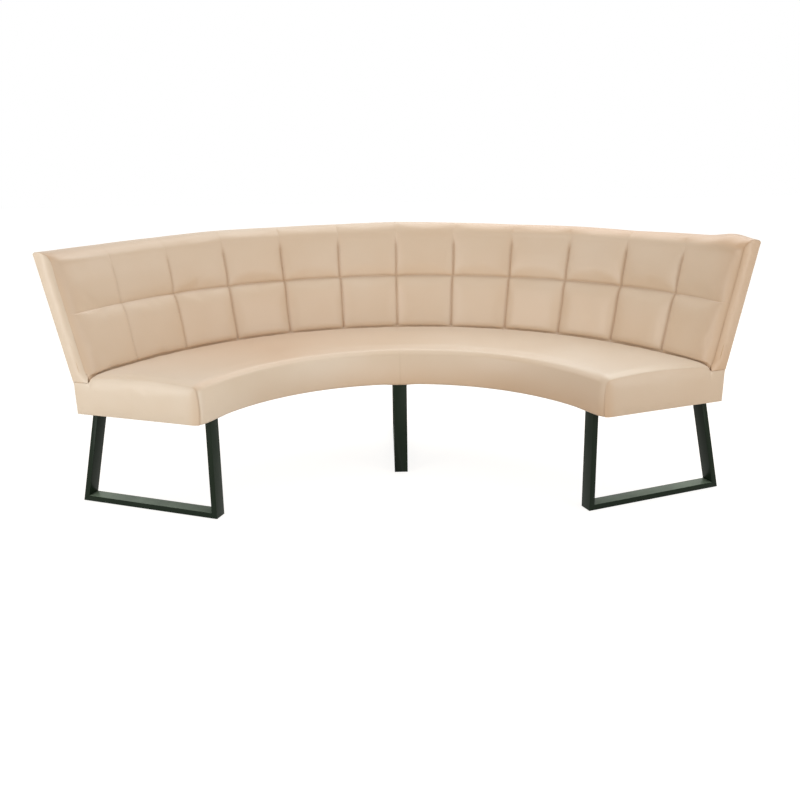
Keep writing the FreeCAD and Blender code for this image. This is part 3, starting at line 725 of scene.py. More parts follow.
@dataclass(frozen=True)
class BackPad:
    """Quilted pad of the back: columns of puffed squares in two rows, under a rolled top edge.

    A pair of values holds the left end's and the right end's.
    """

    plan: Plan
    thickness: float = 0.060
    foot_height: float = 0.4303
    seat_height: float = 0.485
    seam_height: float = 0.689
    seam_top: float = 0.850
    seam_fade: float = 0.040
    roll_radius: float = 0.032
    roll_swell: float = 0.002
    top_drop: float = 0.006
    seam_draw: float = 0.003
    seam_rise: float = 0.003
    lower_puff: float = 0.0115
    upper_puff: float = 0.0085
    lower_fullness: float = 6.0
    foot_fullness: float = 14.0
    upper_fullness: float = 3.2
    column_fullness: float = 4.5
    groove_depth: float = 0.0024
    groove_width: float = 0.0034
    # Painted shade along the seams: its width, and its share on the row seam.
    crease_width: float = 0.0060
    row_crease_share: float = 0.6
    cap: float = 0.003
    sewn_crease: float = 0.8
    rest_share: float = 0.15
    fade_pull_share: float = 0.25
    turn_lines: int = 9
    rear_lines: int = 6
    step: float = 0.0095
    foot_step: float = 0.028
    foot_lines: Numbers = (0.002, 0.0055)
    jog: float = 0.0022
    jog_height: float = 0.006
    wobble: float = 0.0008
    wobble_length: float = 0.034
    wobble_turn: float = 1.7
    front_inset: float = 0.012
    top_inset: float = 0.001
    end_roll: float = 0.028
    end_drop: float = 0.011
    # Painted shade: darker lines on the end seams, and darker leather near the ends, over the front and along
    # the top, given from the left end to the right.
    end_creases: Numbers = (0.0, 0.7)
    end_line_width: float = 0.0035
    end_shades: Numbers = (0.6, 0.8)
    end_shade_reach: float = 0.11
    face_shade: float = 0.3
    top_shades: Numbers = (0.55, 0.15, 0.3, 0.95, 0.95)
    tip_lifts: Numbers = (0.0035, 0.0)
    tip_width: float = 0.045
    corner_lifts: Numbers = (0.0, 0.012)
    corner_place: float = 0.09
    corner_width: float = 0.062
    crest_lifts: Numbers = (-0.002, -0.005, -0.0035, 0.0015, 0.0, 0.001, 0.005, 0.0, -0.0045, -0.0045, -0.009,
                          -0.003, -0.001)
    row_sag: float = 0.0026
    row_sag_reach: float = 0.022
    row_sag_spread: float = 0.030
    pinch_depth: float = 0.0028
    pinch_reach: float = 0.011
    frame_depth: float = 0.0378
    frame_top: float = 0.8669
    frame_middle: float = 0.65
    frame_cover: float = 0.0019
    column_pulls: Numbers = (1.0, 0.3, 0.6, 0.85, 1.0, 1.0, 0.9, 1.0, 1.0, 1.0, 1.0, 0.9, 1.0)
    row_pulls: Numbers = (0.3, 0.5, 0.85, 1.0, 1.0, 1.0, 1.0, 0.9, 0.9, 1.0, 0.9, 0.5)
    row_fade: float = 0.11
    stitched_share: float = 0.5
    row_stitched_share: float = 0.3

    @property
    def columns(self) -> int:
        """Number of columns of squares."""
        return len(self.row_pulls)

    @property
    def width(self) -> float:
        """Width of a column along the rear face."""
        return 2 * self.plan.half_angle * self.plan.rear_radius / self.columns

    @property
    def top_height(self) -> float:
        """Height of the crest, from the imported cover."""
        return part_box("back_front_cover")[1].z

    @property
    def roll_height(self) -> float:
        """Height at which the top roll begins."""
        return self.top_height - self.roll_radius

    def path(self) -> dict[str, np.ndarray]:
        """Section of the pad up its front and over its top.

        Returns:
            Heights and depths, the outward normal as up and out, how far the row seam holds each point, the
            puff, how firmly the column seams are sewn, the share of the way to the rear edge, how far the
            squares have risen from the seat, and the end inset.
        """
        crest = self.thickness + self.roll_swell - self.roll_radius
        low_length = self.seat_height - self.foot_height
        lower_length = self.seam_height - self.seat_height
        upper_length = self.roll_height - self.seam_height
        low = seam_spacing(low_length, self.foot_step, False, False)[:-1]
        lower = seam_spacing(lower_length, self.step, False, True)[:-1]
        lower = np.insert(lower, 1, np.array(self.foot_lines) / lower_length)
        upper = seam_spacing(upper_length, self.step, True, False)[:-1]
        upper_height = self.seam_height + upper * upper_length
        turn = np.linspace(0, math.pi / 2, self.turn_lines)[:-1]
        rear = np.linspace(0, 1, self.rear_lines)
        rest = self.upper_puff * self.rest_share
        front = {"depth": self.thickness, "out": 1.0}
        stretches = [
            {**front, "height": self.foot_height + low * low_length},
            {**front, "height": self.seat_height + lower * lower_length, "puff": self.lower_puff,
             "held": 1 - np.where(lower < 0.5, dome(lower, self.foot_fullness),
                                  dome(lower, self.lower_fullness)),
             "sewn": np.clip(lower * lower_length / self.foot_lines[-1], 0, 1)},
            {**front, "height": upper_height, "puff": rest + (self.upper_puff - rest) * eased(2 - 2 * upper),
             "held": np.where(upper < 0.5, 1 - dome(upper, self.upper_fullness), 0),
             "sewn": np.clip((self.seam_top - upper_height) / self.seam_fade, 0, 1)},
            {"height": self.roll_height + self.roll_radius * np.sin(turn), "puff": rest,
             "depth": crest + self.roll_radius * np.cos(turn), "up": np.sin(turn), "out": np.cos(turn)},
            {"height": self.top_height - self.top_drop * rear ** 2, "puff": rest * (1 - rear),
             "depth": crest * (1 - rear), "up": 1.0, "rear": rear},
        ]
        path = {}
        for name in ("height", "depth", "up", "out", "held", "puff", "sewn", "rear"):
            parts = [np.broadcast_to(part.get(name, 0.0), part["height"].shape) for part in stretches]
            path[name] = np.concatenate(parts)
        path["front"] = np.clip((path["height"] - self.seat_height) / self.foot_lines[-1], 0, 1)
        path["inset"] = self.top_inset + (self.front_inset - self.top_inset) * path["out"]
        return path

    def arc_shares(self) -> np.ndarray:
        """Places of the mesh lines along the arc, in columns, closer beside each seam."""
        column = seam_spacing(self.width, self.step)
        shares = [index + column[:-1] for index in range(self.columns)]
        return np.concatenate(shares + [[self.columns]])

    def from_ends(self, across: np.ndarray) -> tuple[np.ndarray, np.ndarray]:
        """Distances from the left end and from the right end."""
        return across * self.width, (self.columns - across) * self.width

    def pulls(self, across: np.ndarray) -> tuple[np.ndarray, np.ndarray]:
        """How firmly the nearest column seam and the row seam are drawn in along the arc."""
        column = np.interp(np.round(across), np.arange(self.columns + 1), self.column_pulls)
        row = np.interp(across, np.arange(self.columns) + 0.5, self.row_pulls)
        fade = np.clip(np.minimum(*self.from_ends(across)) / self.row_fade, 0, 1)
        return column, row * fade

    def amount(self, across: np.ndarray,
               path: dict[str, np.ndarray]) -> tuple[np.ndarray, np.ndarray, np.ndarray]:
        """How far the pad stands out from its plain section.

        Args:
            across: places along the arc in columns, as a column of numbers.
            path: the pad's section.

        Returns:
            The distances along the section's normal, the mask of painted shade along the seams and the mask
            of painted shade on the leather.
        """
        row = {name: values[None] for name, values in path.items()}
        inside = across - np.floor(across)
        column_pull, row_pull = self.pulls(across)
        column_pull = column_pull * (self.fade_pull_share + (1 - self.fade_pull_share) * row["sewn"])
        bulge = 1 - column_pull * (1 - dome(inside, self.column_fullness))
        free = 1 - row_pull * row["held"]
        along_seam = (self.seam_draw + self.seam_rise) * free - self.seam_draw
        along_seam = along_seam * row["front"] * (row["puff"] > 0)
        near_column = np.minimum(inside, 1 - inside) * self.width
        near_row = row["height"] - self.seam_height
        column_sewn = row["sewn"] * column_pull * (np.minimum(across, self.columns - across) > 0.5)
        groove = np.maximum(bell(near_column, self.groove_width) * column_sewn,
                            bell(near_row, self.groove_width) * row_pull)
        drawn = np.maximum(bell(near_column, self.crease_width) * column_sewn,
                           bell(near_row, self.crease_width) * row_pull * self.row_crease_share)
        crossing = np.exp(-(near_column ** 2 + near_row ** 2) / self.pinch_reach ** 2)
        crossing = crossing * row_pull * column_pull
        ends = self.from_ends(across)
        drop = rolled(np.minimum(*ends), self.end_roll, self.end_drop) * row["front"] * row["out"]
        lift = sum(corner * bell(end - self.corner_place, self.corner_width)
                   + tip * bell(end, self.tip_width) * row["rear"]
                   for corner, tip, end in zip(self.corner_lifts, self.tip_lifts, ends))
        total = along_seam + row["puff"] * row["front"] * free * bulge - self.groove_depth * groove - drop
        crest = np.interp(across, np.arange(self.columns + 1), self.crest_lifts)
        total = total + (lift + crest) * row["up"] - self.pinch_depth * crossing
        end_line = sum(share * bell(end, self.end_line_width) for share, end in zip(self.end_creases, ends))
        # Painted shade in the seams and where they cross, and on the leather near the ends, over the front
        # and along the top.
        crease = np.maximum(np.maximum(drawn, crossing / 2), end_line * row["front"] * row["out"])
        end_shade = sum(share * np.exp(-end / self.end_shade_reach)
                        for share, end in zip(self.end_shades, ends))
        top_shade = np.interp(across, np.linspace(0, self.columns, len(self.top_shades)), self.top_shades)
        shade = np.maximum(end_shade, self.face_shade) * row["out"] + top_shade * row["up"]
        return total, crease, shade

    def wander(self, across: np.ndarray, height: np.ndarray) -> np.ndarray:
        """Sideways wander of the column seams, with a jog towards the middle below the row seam.

        Args:
            across: places along the arc in columns, as a column of numbers.
            height: heights along the pad's section.

        Returns:
            Shifts in columns.
        """
        seams = np.arange(self.columns + 1)[:, None]
        below = (1 - np.tanh((height - self.seam_height) / self.jog_height)) / 2
        shift = self.jog * below * np.sign(self.columns / 2 - seams)
        shift = shift + self.wobble * np.sin(height / self.wobble_length + self.wobble_turn * seams)
        shift[[0, -1]] = 0
        left = np.minimum(np.floor(across[:, 0]).astype(int), self.columns - 1)
        part = across - left[:, None]
        return ((1 - part) * shift[left] + part * shift[left + 1]) / self.width

    def sag(self, across: np.ndarray, height: np.ndarray) -> np.ndarray:
        """How far the row seam hangs down where it meets a column seam."""
        inside = across - np.floor(across)
        near = np.minimum(inside, 1 - inside) * self.width / self.row_sag_reach
        away = (height - self.seam_height) / self.row_sag_spread
        return self.row_sag * self.pulls(across)[1] * np.exp(-near ** 2 - away ** 2)

    def build(self) -> bpy.types.Object:
        """Make the pad's closed mesh."""
        path = self.path()
        across = self.arc_shares()[:, None]
        amount, crease, shade = self.amount(across, path)
        height = path["height"] + path["up"] * amount - self.sag(across, path["height"])
        depth = path["depth"] + path["out"] * amount
        share = (across + self.wander(across, path["height"])) / self.columns * 2 - 1
        outer = self.plan.swept(share, self.plan.cone_radius(height, depth), height, path["inset"])
        inner_path = np.array([[self.foot_height, self.frame_depth], [self.frame_middle, self.frame_depth],
                               [self.frame_top, self.frame_depth], [self.frame_top, self.frame_cover]])
        share = across / self.columns * 2 - 1
        inner_radius = self.plan.cone_radius(inner_path[:, 0], inner_path[:, 1]) + 0 * share
        inner = self.plan.swept(share, inner_radius, inner_path[:, 0], self.front_inset)
        pad = thick_sheet("back_quilted_pad", outer, inner, crease=crease, shade=shade)
        sewn = crease > self.sewn_crease
        sewn[:, np.abs(path["height"] - self.seam_height) < 1e-6] = True
        sewn[:, path["height"] < self.seat_height] = True
        sewn[:, -self.rear_lines:] = True
        swell_face(pad, sewn, self.cap)
        return pad

    def seams(self) -> list[list[int]]:
        """Point numbers of the pad's mesh along each quilted seam, from its build."""
        path = self.path()
        across = self.arc_shares()
        deep = len(path["height"])
        row = int(np.argmin(np.abs(path["height"] - self.seam_height)))
        sewn = [j for j in range(deep) if path["sewn"][j] > self.stitched_share]
        starts = [int(np.argmin(np.abs(across - k))) * deep for k in range(1, self.columns)]
        pull = self.pulls(across[:, None])[1][:, 0]
        drawn = [i * deep + row for i in range(len(across)) if pull[i] > self.row_stitched_share]
        return [[start + j for j in sewn] for start in starts] + [drawn]

    def end_edge(self, side: Side) -> tuple[np.ndarray, np.ndarray]:
        """Radius and height of the pad's edge along an end seam, and its insets from the flat end."""
        path = self.path()
        place = 0.0 if side is Side.LEFT else float(self.columns)
        amount = self.amount(np.array([[place]]), path)[0][0]
        height = path["height"] + path["up"] * amount
        depth = path["depth"] + path["out"] * amount
        return np.stack([self.plan.cone_radius(height, depth), height], axis=-1), path["inset"]


@dataclass(frozen=True)
class SeatPad:
    """Plain crowned cushion of the seat with a bowed front and a rounded top edge."""

    plan: Plan
    front_radius: float = 0.688
    front_bow: float = 0.0042
    corner_radius: float = 0.028
    front_height: float = 0.488
    rear_height: float = 0.485
    crown_rise: float = 0.0102
    rear_depth: float = 0.061
    rear_round: float = 0.014
    rear_drop: float = 0.007
    foot_height: float = 0.4304
    skirt_radius: float = 0.6995
    hem_drop: float = 0.003
    front_inset: float = 0.0105
    top_inset: float = 0.008
    hidden_inset: float = 0.0125
    shelf_height: float = 0.465
    end_roll: float = 0.028
    front_draw: float = 0.0095
    top_draw: float = 0.007
    centre_groove: float = 0.0006
    # Painted shade: a faint line down the middle, lines on the end seams, and darker leather low on the
    # front, on its rounded edge and on the top, given from the left end to the right.
    centre_crease: float = 0.16
    end_creases: Numbers = (0.7, 0.08)
    end_grooves: Numbers = (0.0012, 0.0)
    front_shades: Numbers = (0.05, 0.85, 0.95)
    bend_shades: Numbers = (0.0, 0.2, 0.5)
    rim_shades: Numbers = (0.55, 0.25, 0.0)
    top_shades: Numbers = (0.1, 0.85, 0.35, 0.1, 0.0)
    leg_dips: Numbers = (0.002, 0.004, 0.002)
    leg_dip_width: float = 0.045
    leg_dip_reach: float = 0.008
    step: float = 0.0115
    along_share: float = 0.7
    cap: float = 0.0025
    front_lines: int = 12
    turn_lines: int = 9
    rear_lines: int = 6
    held_lines: int = 14
    hem: float = 0.001
    hidden_radii: Numbers = (0.9, 1.085)
    centre_width: float = 0.0025
    shade_power: float = 1.4

    @property
    def underside(self) -> float:
        """Height of the cover's lower edge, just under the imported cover's."""
        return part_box("seat_cover")[0].z - self.hem_drop

    def section(self) -> dict[str, np.ndarray]:
        """Section of the cushion's outside, from the front's lower edge to the foot behind.

        Returns:
            Points of radius and height, the outward normals, how far the end seams draw each point in, the
            insets of the end seams from the flat ends, and how low each point is on the front.
        """
        corner_height = self.front_height - self.corner_radius
        corner = self.front_radius + self.corner_radius
        rise = np.linspace(0, 1, self.front_lines)[:-1]
        front = np.stack([self.front_radius - self.front_bow * (1 - (2 * rise - 1) ** 2),
                          self.underside + rise * (corner_height - self.underside)], axis=-1)
        turn = np.linspace(0, math.pi / 2, self.turn_lines)
        bend = np.stack([corner - self.corner_radius * np.cos(turn),
                         corner_height + self.corner_radius * np.sin(turn)], axis=-1)
        rear = self.plan.cone_radius(self.rear_height, self.rear_depth)
        run = np.linspace(0, 1, int((rear - corner) / self.step) + 1)[1:]
        crown = self.front_height + (self.rear_height - self.front_height) * run
        crown = crown + self.crown_rise * 4 * run * (1 - run)
        crown = crown - rolled((1 - run) * (rear - corner), self.rear_round, self.rear_drop)
        top = np.stack([corner + run * (rear - corner), crown], axis=-1)
        down = np.linspace(self.rear_height - self.rear_drop, self.foot_height, self.rear_lines)[1:]
        behind = np.stack([self.plan.cone_radius(down, self.rear_depth), down], axis=-1)
        points = np.concatenate([front, bend, top, behind])
        tangent = np.gradient(points, axis=0)
        tangent /= np.linalg.norm(tangent, axis=1, keepdims=True)
        normals = np.stack([-tangent[:, 1], tangent[:, 0]], axis=-1)
        upright = np.clip(-normals[:, 0], 0, 1)
        upright[-len(behind):] = 0
        draws = self.top_draw + (self.front_draw - self.top_draw) * upright
        draws[-len(behind):] = 0
        insets = self.top_inset + (self.front_inset - self.top_inset) * upright
        insets[-len(behind):][down < self.shelf_height] = self.hidden_inset
        low = np.clip((corner_height - points[:, 1]) / (corner_height - self.underside), 0, 1)
        return {"points": points, "normals": normals, "draws": draws, "insets": insets, "low": low}

    def legs(self) -> tuple[float, ...]:
        """Distances of the legs' fronts from the middle of the bench, along the front of the seat."""
        side = math.asin(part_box("right_leg_floor_bar")[0].x / self.front_radius) * self.front_radius
        return -side, 0.0, side

    def build(self) -> bpy.types.Object:
        """Make the cushion's closed mesh."""
        section = self.section()
        points, normals = section["points"], section["normals"]
        upright = np.clip(-normals[:, 0], 0, 1)
        reach = self.plan.half_angle * self.front_radius
        half = seam_spacing(reach, self.step * self.along_share)
        share = np.concatenate([half - 1, half[1:]])[:, None]
        along = share * reach
        middle = bell(along, self.centre_width) * upright
        from_end = (1 - np.abs(share)) * reach
        inset = rolled(from_end, self.end_roll, 1.0) * section["draws"]
        line = bell(from_end, SEAM_LINE_WIDTH) * upright
        side = (share > 0).astype(int)
        inset = inset + self.centre_groove * middle + np.array(self.end_grooves)[side] * line
        radius = points[:, 0] - normals[:, 0] * inset
        height = points[:, 1] - normals[:, 1] * inset
        low = np.exp(-(points[:, 1] - self.underside) / self.leg_dip_reach)
        for place, dip in zip(self.legs(), self.leg_dips):
            height = height - dip * np.exp(-((along - place) / self.leg_dip_width) ** 4) * low
        outer = self.plan.swept(share, radius, height, section["insets"])
        hidden = [[radius, self.foot_height] for radius in (self.skirt_radius, *self.hidden_radii)]
        hem_height = self.underside + self.hem_drop + self.hem
        inner_path = np.array([[self.skirt_radius, hem_height], *hidden])
        inner = self.plan.swept(share, inner_path[:, 0] + 0 * share, inner_path[:, 1], self.hidden_inset)
        # Painted shade along the seams, and on the leather: darker low on the front, on the rounded edge and
        # on the top.
        crease = np.maximum(self.centre_crease * middle, np.array(self.end_creases)[side] * line)
        high = np.interp(share, (-1, 0, 1), self.bend_shades)
        deep = np.interp(share, (-1, 0, 1), self.front_shades)
        front = high + (deep - high) * section["low"] ** self.shade_power
        top = np.interp(share, np.linspace(-1, 1, len(self.top_shades)), self.top_shades)
        rim = np.interp(share, (-1, 0, 1), self.rim_shades) * 4 * upright * (1 - upright)
        shade = np.maximum(upright * front + (1 - upright) * top, rim)
        pad = thick_sheet("seat_cushion_pad", outer, inner, crease=crease, shade=shade)
        sewn = np.zeros(outer.shape[:2], bool)
        sewn[:, :self.held_lines] = True
        sewn[:, -self.rear_lines:] = True
        swell_face(pad, sewn, self.cap)
        return pad


@dataclass(frozen=True)
class EndPanels:
    """Padded panels over the flat ends of the seat and the back.

    A pair of values holds the left end's and the right end's.
    """

    plan: Plan
    seat: SeatPad
    back: BackPad
    seat_roll: float = 0.028
    seat_puff: float = 0.003
    strip_roll: float = 0.028
    strip_puff: float = 0.001
    # Painted shade: darker leather on each panel, more on its lower part and along the seat's front edge, and
    # darker lines along some seams.
    seat_shades: Numbers = (0.0, 0.45)
    strip_shades: Numbers = (0.15, 1.0)
    upper_share: float = 0.75
    corner_shades: Numbers = (0.45, 0.5)
    corner_reach: float = 0.032
    seat_cap: float = 0.0015
    strip_cap: float = 0.0008
    strip_creases: Numbers = (0.0, 0.7)
    foot_creases: Numbers = (0.0, 0.2)
    foot_inset: float = 0.0006
    rear_roll: float = 0.004
    rear_drop: float = 0.002
    depth: float = 0.0122
    step: float = 0.0095
    fullness: float = 2.4
    low_reach: float = 0.13
    corner_top_share: float = 0.4
    edge_margins: Numbers = (0.001, 0.002)
    seat_start_inset: float = 0.002
    seat_foot_roll: float = 0.006
    seat_top_crease: float = 0.1
    seat_shrink: Numbers = (0.02, 0.06)
    top_slope: float = 0.7
    strip_gap: float = 0.0003
    strip_rolls: Numbers = (0.003, 0.010)
    strip_turn_share: float = 0.35
    strip_shrink: Numbers = (0.10, 0.05)

    def panel(self, name: str, side: Side, sides: tuple, rolls: tuple, lines: tuple, puffs: tuple,
              shades: tuple, shrink: tuple) -> bpy.types.Object:
        """Closed panel on a flat end.

        Args:
            name: the piece's name.
            side: which end.
            sides: bottom, top, front and rear paths of radius, height and edge inset.
            rolls: width of the roll towards the bottom, top, front and rear edges.
            lines: how much painted shade lies along the seams at the bottom, top, front and rear edges.
            puffs: how far the middle stands out, and the most that the swelling adds.
            shades: how much painted shade darkens the panel, most on its lower part, and how much more along
                its front edge.
            shrink: shares by which the hidden side is smaller in reach and in height.

        Returns:
            The new piece.
        """
        bottom, top, front, rear = sides
        puff, cap = puffs
        shade, corner = shades
        u = seam_spacing(float(np.linalg.norm(bottom[-1, :2] - bottom[0, :2])), self.step)
        v = seam_spacing(float(np.linalg.norm(front[-1, :2] - front[0, :2])), self.step)
        edges = (path_at(bottom, u)[:, None], path_at(top, u)[:, None], path_at(front, v)[None],
                 path_at(rear, v)[None])
        grid = panel_grid((edges[0][:, 0], edges[1][:, 0], edges[2][0], edges[3][0]))[..., :2]
        gaps = [np.linalg.norm(grid - edge[..., :2], axis=-1) for edge in edges]
        drops = [rolled(gap, width, edge[..., 2]) for gap, width, edge in zip(gaps, rolls, edges)]
        bulge = dome(u, self.fullness)[:, None] * dome(v, self.fullness)[None]
        inset = np.maximum.reduce(drops) - puff * bulge
        outer = self.plan.on_end(side, grid[..., 0], grid[..., 1], inset)
        middle = grid.mean(axis=(0, 1))
        hidden = middle + (grid - middle) * (1 - np.array(shrink))
        inner = self.plan.on_end(side, hidden[..., 0], hidden[..., 1], np.full(grid.shape[:2], self.depth))
        # Painted shade along the seams, and on the leather, more low down and by the front edge.
        crease = np.maximum.reduce([line * bell(gap, SEAM_LINE_WIDTH) for gap, line in zip(gaps, lines)])
        low = np.clip(1 - gaps[0] / self.low_reach, 0, 1)
        corner = corner * (self.corner_top_share + (1 - self.corner_top_share) * low)
        corner = corner * bell(gaps[2], self.corner_reach)
        shade = shade * (self.upper_share + (1 - self.upper_share) * low) + corner
        panel = thick_sheet(name, outer, inner, crease=crease, shade=shade)
        swell_face(panel, crease > 1, cap)
        return panel

    def build_seat(self, side: Side) -> bpy.types.Object:
        """Panel over one end of the seat, rolled in to its front and top seams."""
        section = self.seat.section()
        which = 0 if side is Side.LEFT else 1
        edge = section["points"] - section["normals"] * section["draws"][:, None]
        edge = np.concatenate([edge, section["insets"][:, None]], axis=1)
        split = int(np.argmax(section["normals"][:, 1] > self.top_slope))
        shelf_height = self.seat.shelf_height
        shelf = np.array([[self.plan.cone_radius(shelf_height, depth), shelf_height, self.foot_inset]
                          for depth in (self.seat.rear_depth, 0)])
        top = edge[split:]
        top = np.concatenate([top[top[:, 1] > shelf_height + self.edge_margins[0]], shelf])
        foot = np.array([self.plan.rear_radius, self.seat.underside, self.rear_drop])
        rear = np.array([foot, [self.plan.rear_radius, self.plan.fold_height, self.rear_drop], shelf[1]])
        start = edge[0] * [1, 1, 0] + [0, 0, self.seat_start_inset]
        sides = (np.array([start, foot]), top, edge[:split + 1], rear)
        rolls = (self.seat_foot_roll, self.seat_roll, self.seat_roll, self.rear_roll)
        lines = (0.0, self.seat_top_crease, self.seat.end_creases[which], 0.0)
        name = "seat_%s_end_pad" % side.name.lower()
        puffs = (self.seat_puff, self.seat_cap)
        shades = (self.seat_shades[which], self.corner_shades[which])
        return self.panel(name, side, sides, rolls, lines, puffs, shades, self.seat_shrink)

    def build_strip(self, side: Side) -> bpy.types.Object:
        """Narrow panel over one end of the back."""
        which = 0 if side is Side.LEFT else 1
        edge, insets = self.back.end_edge(side)
        edge = np.concatenate([edge, insets[:, None]], axis=1)
        foot = self.seat.shelf_height - self.strip_gap
        edge = edge[edge[:, 1] > foot + self.edge_margins[1]]
        front_foot = [self.plan.cone_radius(foot, self.back.thickness), foot, self.foot_inset]
        edge = np.concatenate([[front_foot], edge])
        turn_height = self.back.top_height - self.back.roll_radius * self.strip_turn_share
        turn = int(np.argmax(edge[:, 1] > turn_height))
        rear_foot = np.array([self.plan.cone_radius(foot, 0.0), foot, self.foot_inset])
        sides = (np.array([edge[0], rear_foot]), edge[turn:], edge[:turn + 1],
                 np.array([rear_foot, edge[-1]]))
        rolls = (*self.strip_rolls, self.strip_roll, self.rear_roll)
        lines = (self.foot_creases[which], 0.0, self.strip_creases[which], 0.0)
        name = "back_%s_end_strip" % side.name.lower()
        puffs = (self.strip_puff, self.strip_cap)
        shades = (self.strip_shades[which], 0.0)
        return self.panel(name, side, sides, rolls, lines, puffs, shades, self.strip_shrink)


@dataclass(frozen=True)
class RearPads:
    """Lightly padded covers of the rear face, upright behind the seat and reclined above it."""

    plan: Plan
    padding: float = 0.0065
    puff: float = 0.0015
    cap: float = 0.001
    end_inset: float = 0.0025
    seam_gap: float = 0.0006
    step: float = 0.02
    rest_depth: float = 0.001
    fullness: float = 6
    arc_half: float = 1.41
    centre_width: float = 0.004
    # Painted shade along the middle seam.
    centre_crease: float = 0.5

    def build(self, name: str, low: float, high: float) -> bpy.types.Object:
        """Closed pad between two heights of the rear face.

        Args:
            name: the piece's name.
            low: height of its lower edge.
            high: height of its upper edge.

        Returns:
            The new piece.
        """
        height = low + seam_spacing(high - low, self.step) * (high - low)
        half = seam_spacing(self.plan.half_angle * self.plan.rear_radius, self.step)
        share = np.concatenate([half - 1, half[1:]])[:, None]
        face = self.plan.cone_radius(np.maximum(height, self.plan.fold_height), 0)[None]
        centre = bell(share * self.arc_half, self.centre_width)
        bulge = dome((height - low) / (high - low), self.fullness)[None] * (1 - centre)
        inset = self.end_inset
        outer = self.plan.swept(share, face - self.rest_depth + self.puff * bulge, height[None], inset)
        inner = self.plan.swept(share, face - self.padding + 0 * share, height[None], inset)
        seam = centre * np.ones_like(face)
        pad = thick_sheet(name, outer, inner, crease=self.centre_crease * seam)
        swell_face(pad, seam > 0.5, self.cap)
        return pad


@dataclass(frozen=True)
class DustCloth:
    """Thin black cloth that closes the underside between the lower edges of the covers."""

    plan: Plan
    near: float = 0.7005
    far: float = 1.1575
    height: float = 0.3562
    thickness: float = 0.0005
    end_inset: float = 0.009
    ripple: float = 0.0001
    ripple_turns: tuple[int, int] = (90, 60)
    lines: tuple[int, int] = (40, 160)
    border_lines: int = 120
    staple_margin: float = 0.008

    def build(self) -> bpy.types.Object:
        """Make the cloth's closed mesh."""
        radius = np.linspace(self.near, self.far, self.lines[0])[None]
        share = np.linspace(-1, 1, self.lines[1])[:, None]
        inwards, along = self.ripple_turns
        wave = self.ripple * np.sin(radius * inwards) * np.sin(share * along)
        outer = self.plan.swept(share, radius + 0 * share, self.height + wave, self.end_inset)
        inner = outer + np.array([0, 0, self.thickness])
        return thick_sheet("dust_cloth", outer, inner)

    def border(self) -> np.ndarray:
        """Closed path just inside the cloth's edge, on its underside."""
        share = np.linspace(-1, 1, self.border_lines)
        margin = self.staple_margin
        inset = self.end_inset + margin
        near = self.plan.swept(share, self.near + margin + 0 * share, self.height + 0 * share, inset)
        far = self.plan.swept(share[::-1], self.far - margin + 0 * share, self.height + 0 * share, inset)
        return np.concatenate([near, far, near[:1]])


@dataclass(frozen=True)
class SledLegs:
    """Rectangular tubes and plates of the three legs, with the rounded edges of drawn tube."""

    edge_radius: float = 0.0018
    joint_share: float = 0.22
    segments: int = 3
    weld_reach: float = 1e-6
    flat_angle: float = math.radians(1)
    sharp_angle: float = math.radians(35)
    end_slope: float = 0.2

    def build(self, node: str) -> bpy.types.Object:
        """Copy a packed tube or plate and round its edges, least at its welded joints."""
        mesh = frame["nodes"][node].data.copy()
        work = bmesh.new()
        work.from_mesh(mesh)
        bmesh.ops.remove_doubles(work, verts=work.verts, dist=self.weld_reach)
        bmesh.ops.dissolve_limit(work, angle_limit=self.flat_angle, verts=work.verts, edges=work.edges)
        longest = max(work.edges, key=lambda edge: edge.calc_length())
        run = (longest.verts[1].co - longest.verts[0].co).normalized()
        weight = work.edges.layers.float.new("bevel_weight_edge")
        for edge in work.edges:
            at_joint = any(abs(face.normal.dot(run)) > self.end_slope for face in edge.link_faces)
            edge[weight] = self.joint_share if at_joint else 1.0
        work.to_mesh(mesh)
        work.free()
        piece = add_object(node + "_rounded", mesh)
        bevel = piece.modifiers.new("edges", "BEVEL")
        bevel.width = self.edge_radius
        bevel.segments = self.segments
        bevel.limit_method = "WEIGHT"
        apply_modifiers(piece)
        piece.data.shade_smooth()
        piece.data.set_sharp_from_angle(angle=self.sharp_angle)
        return piece


class Fastening(Enum):
    """What is set along a line: rounded stitches or straight staples."""

    STITCH = "stitch"
    STAPLE = "staple"


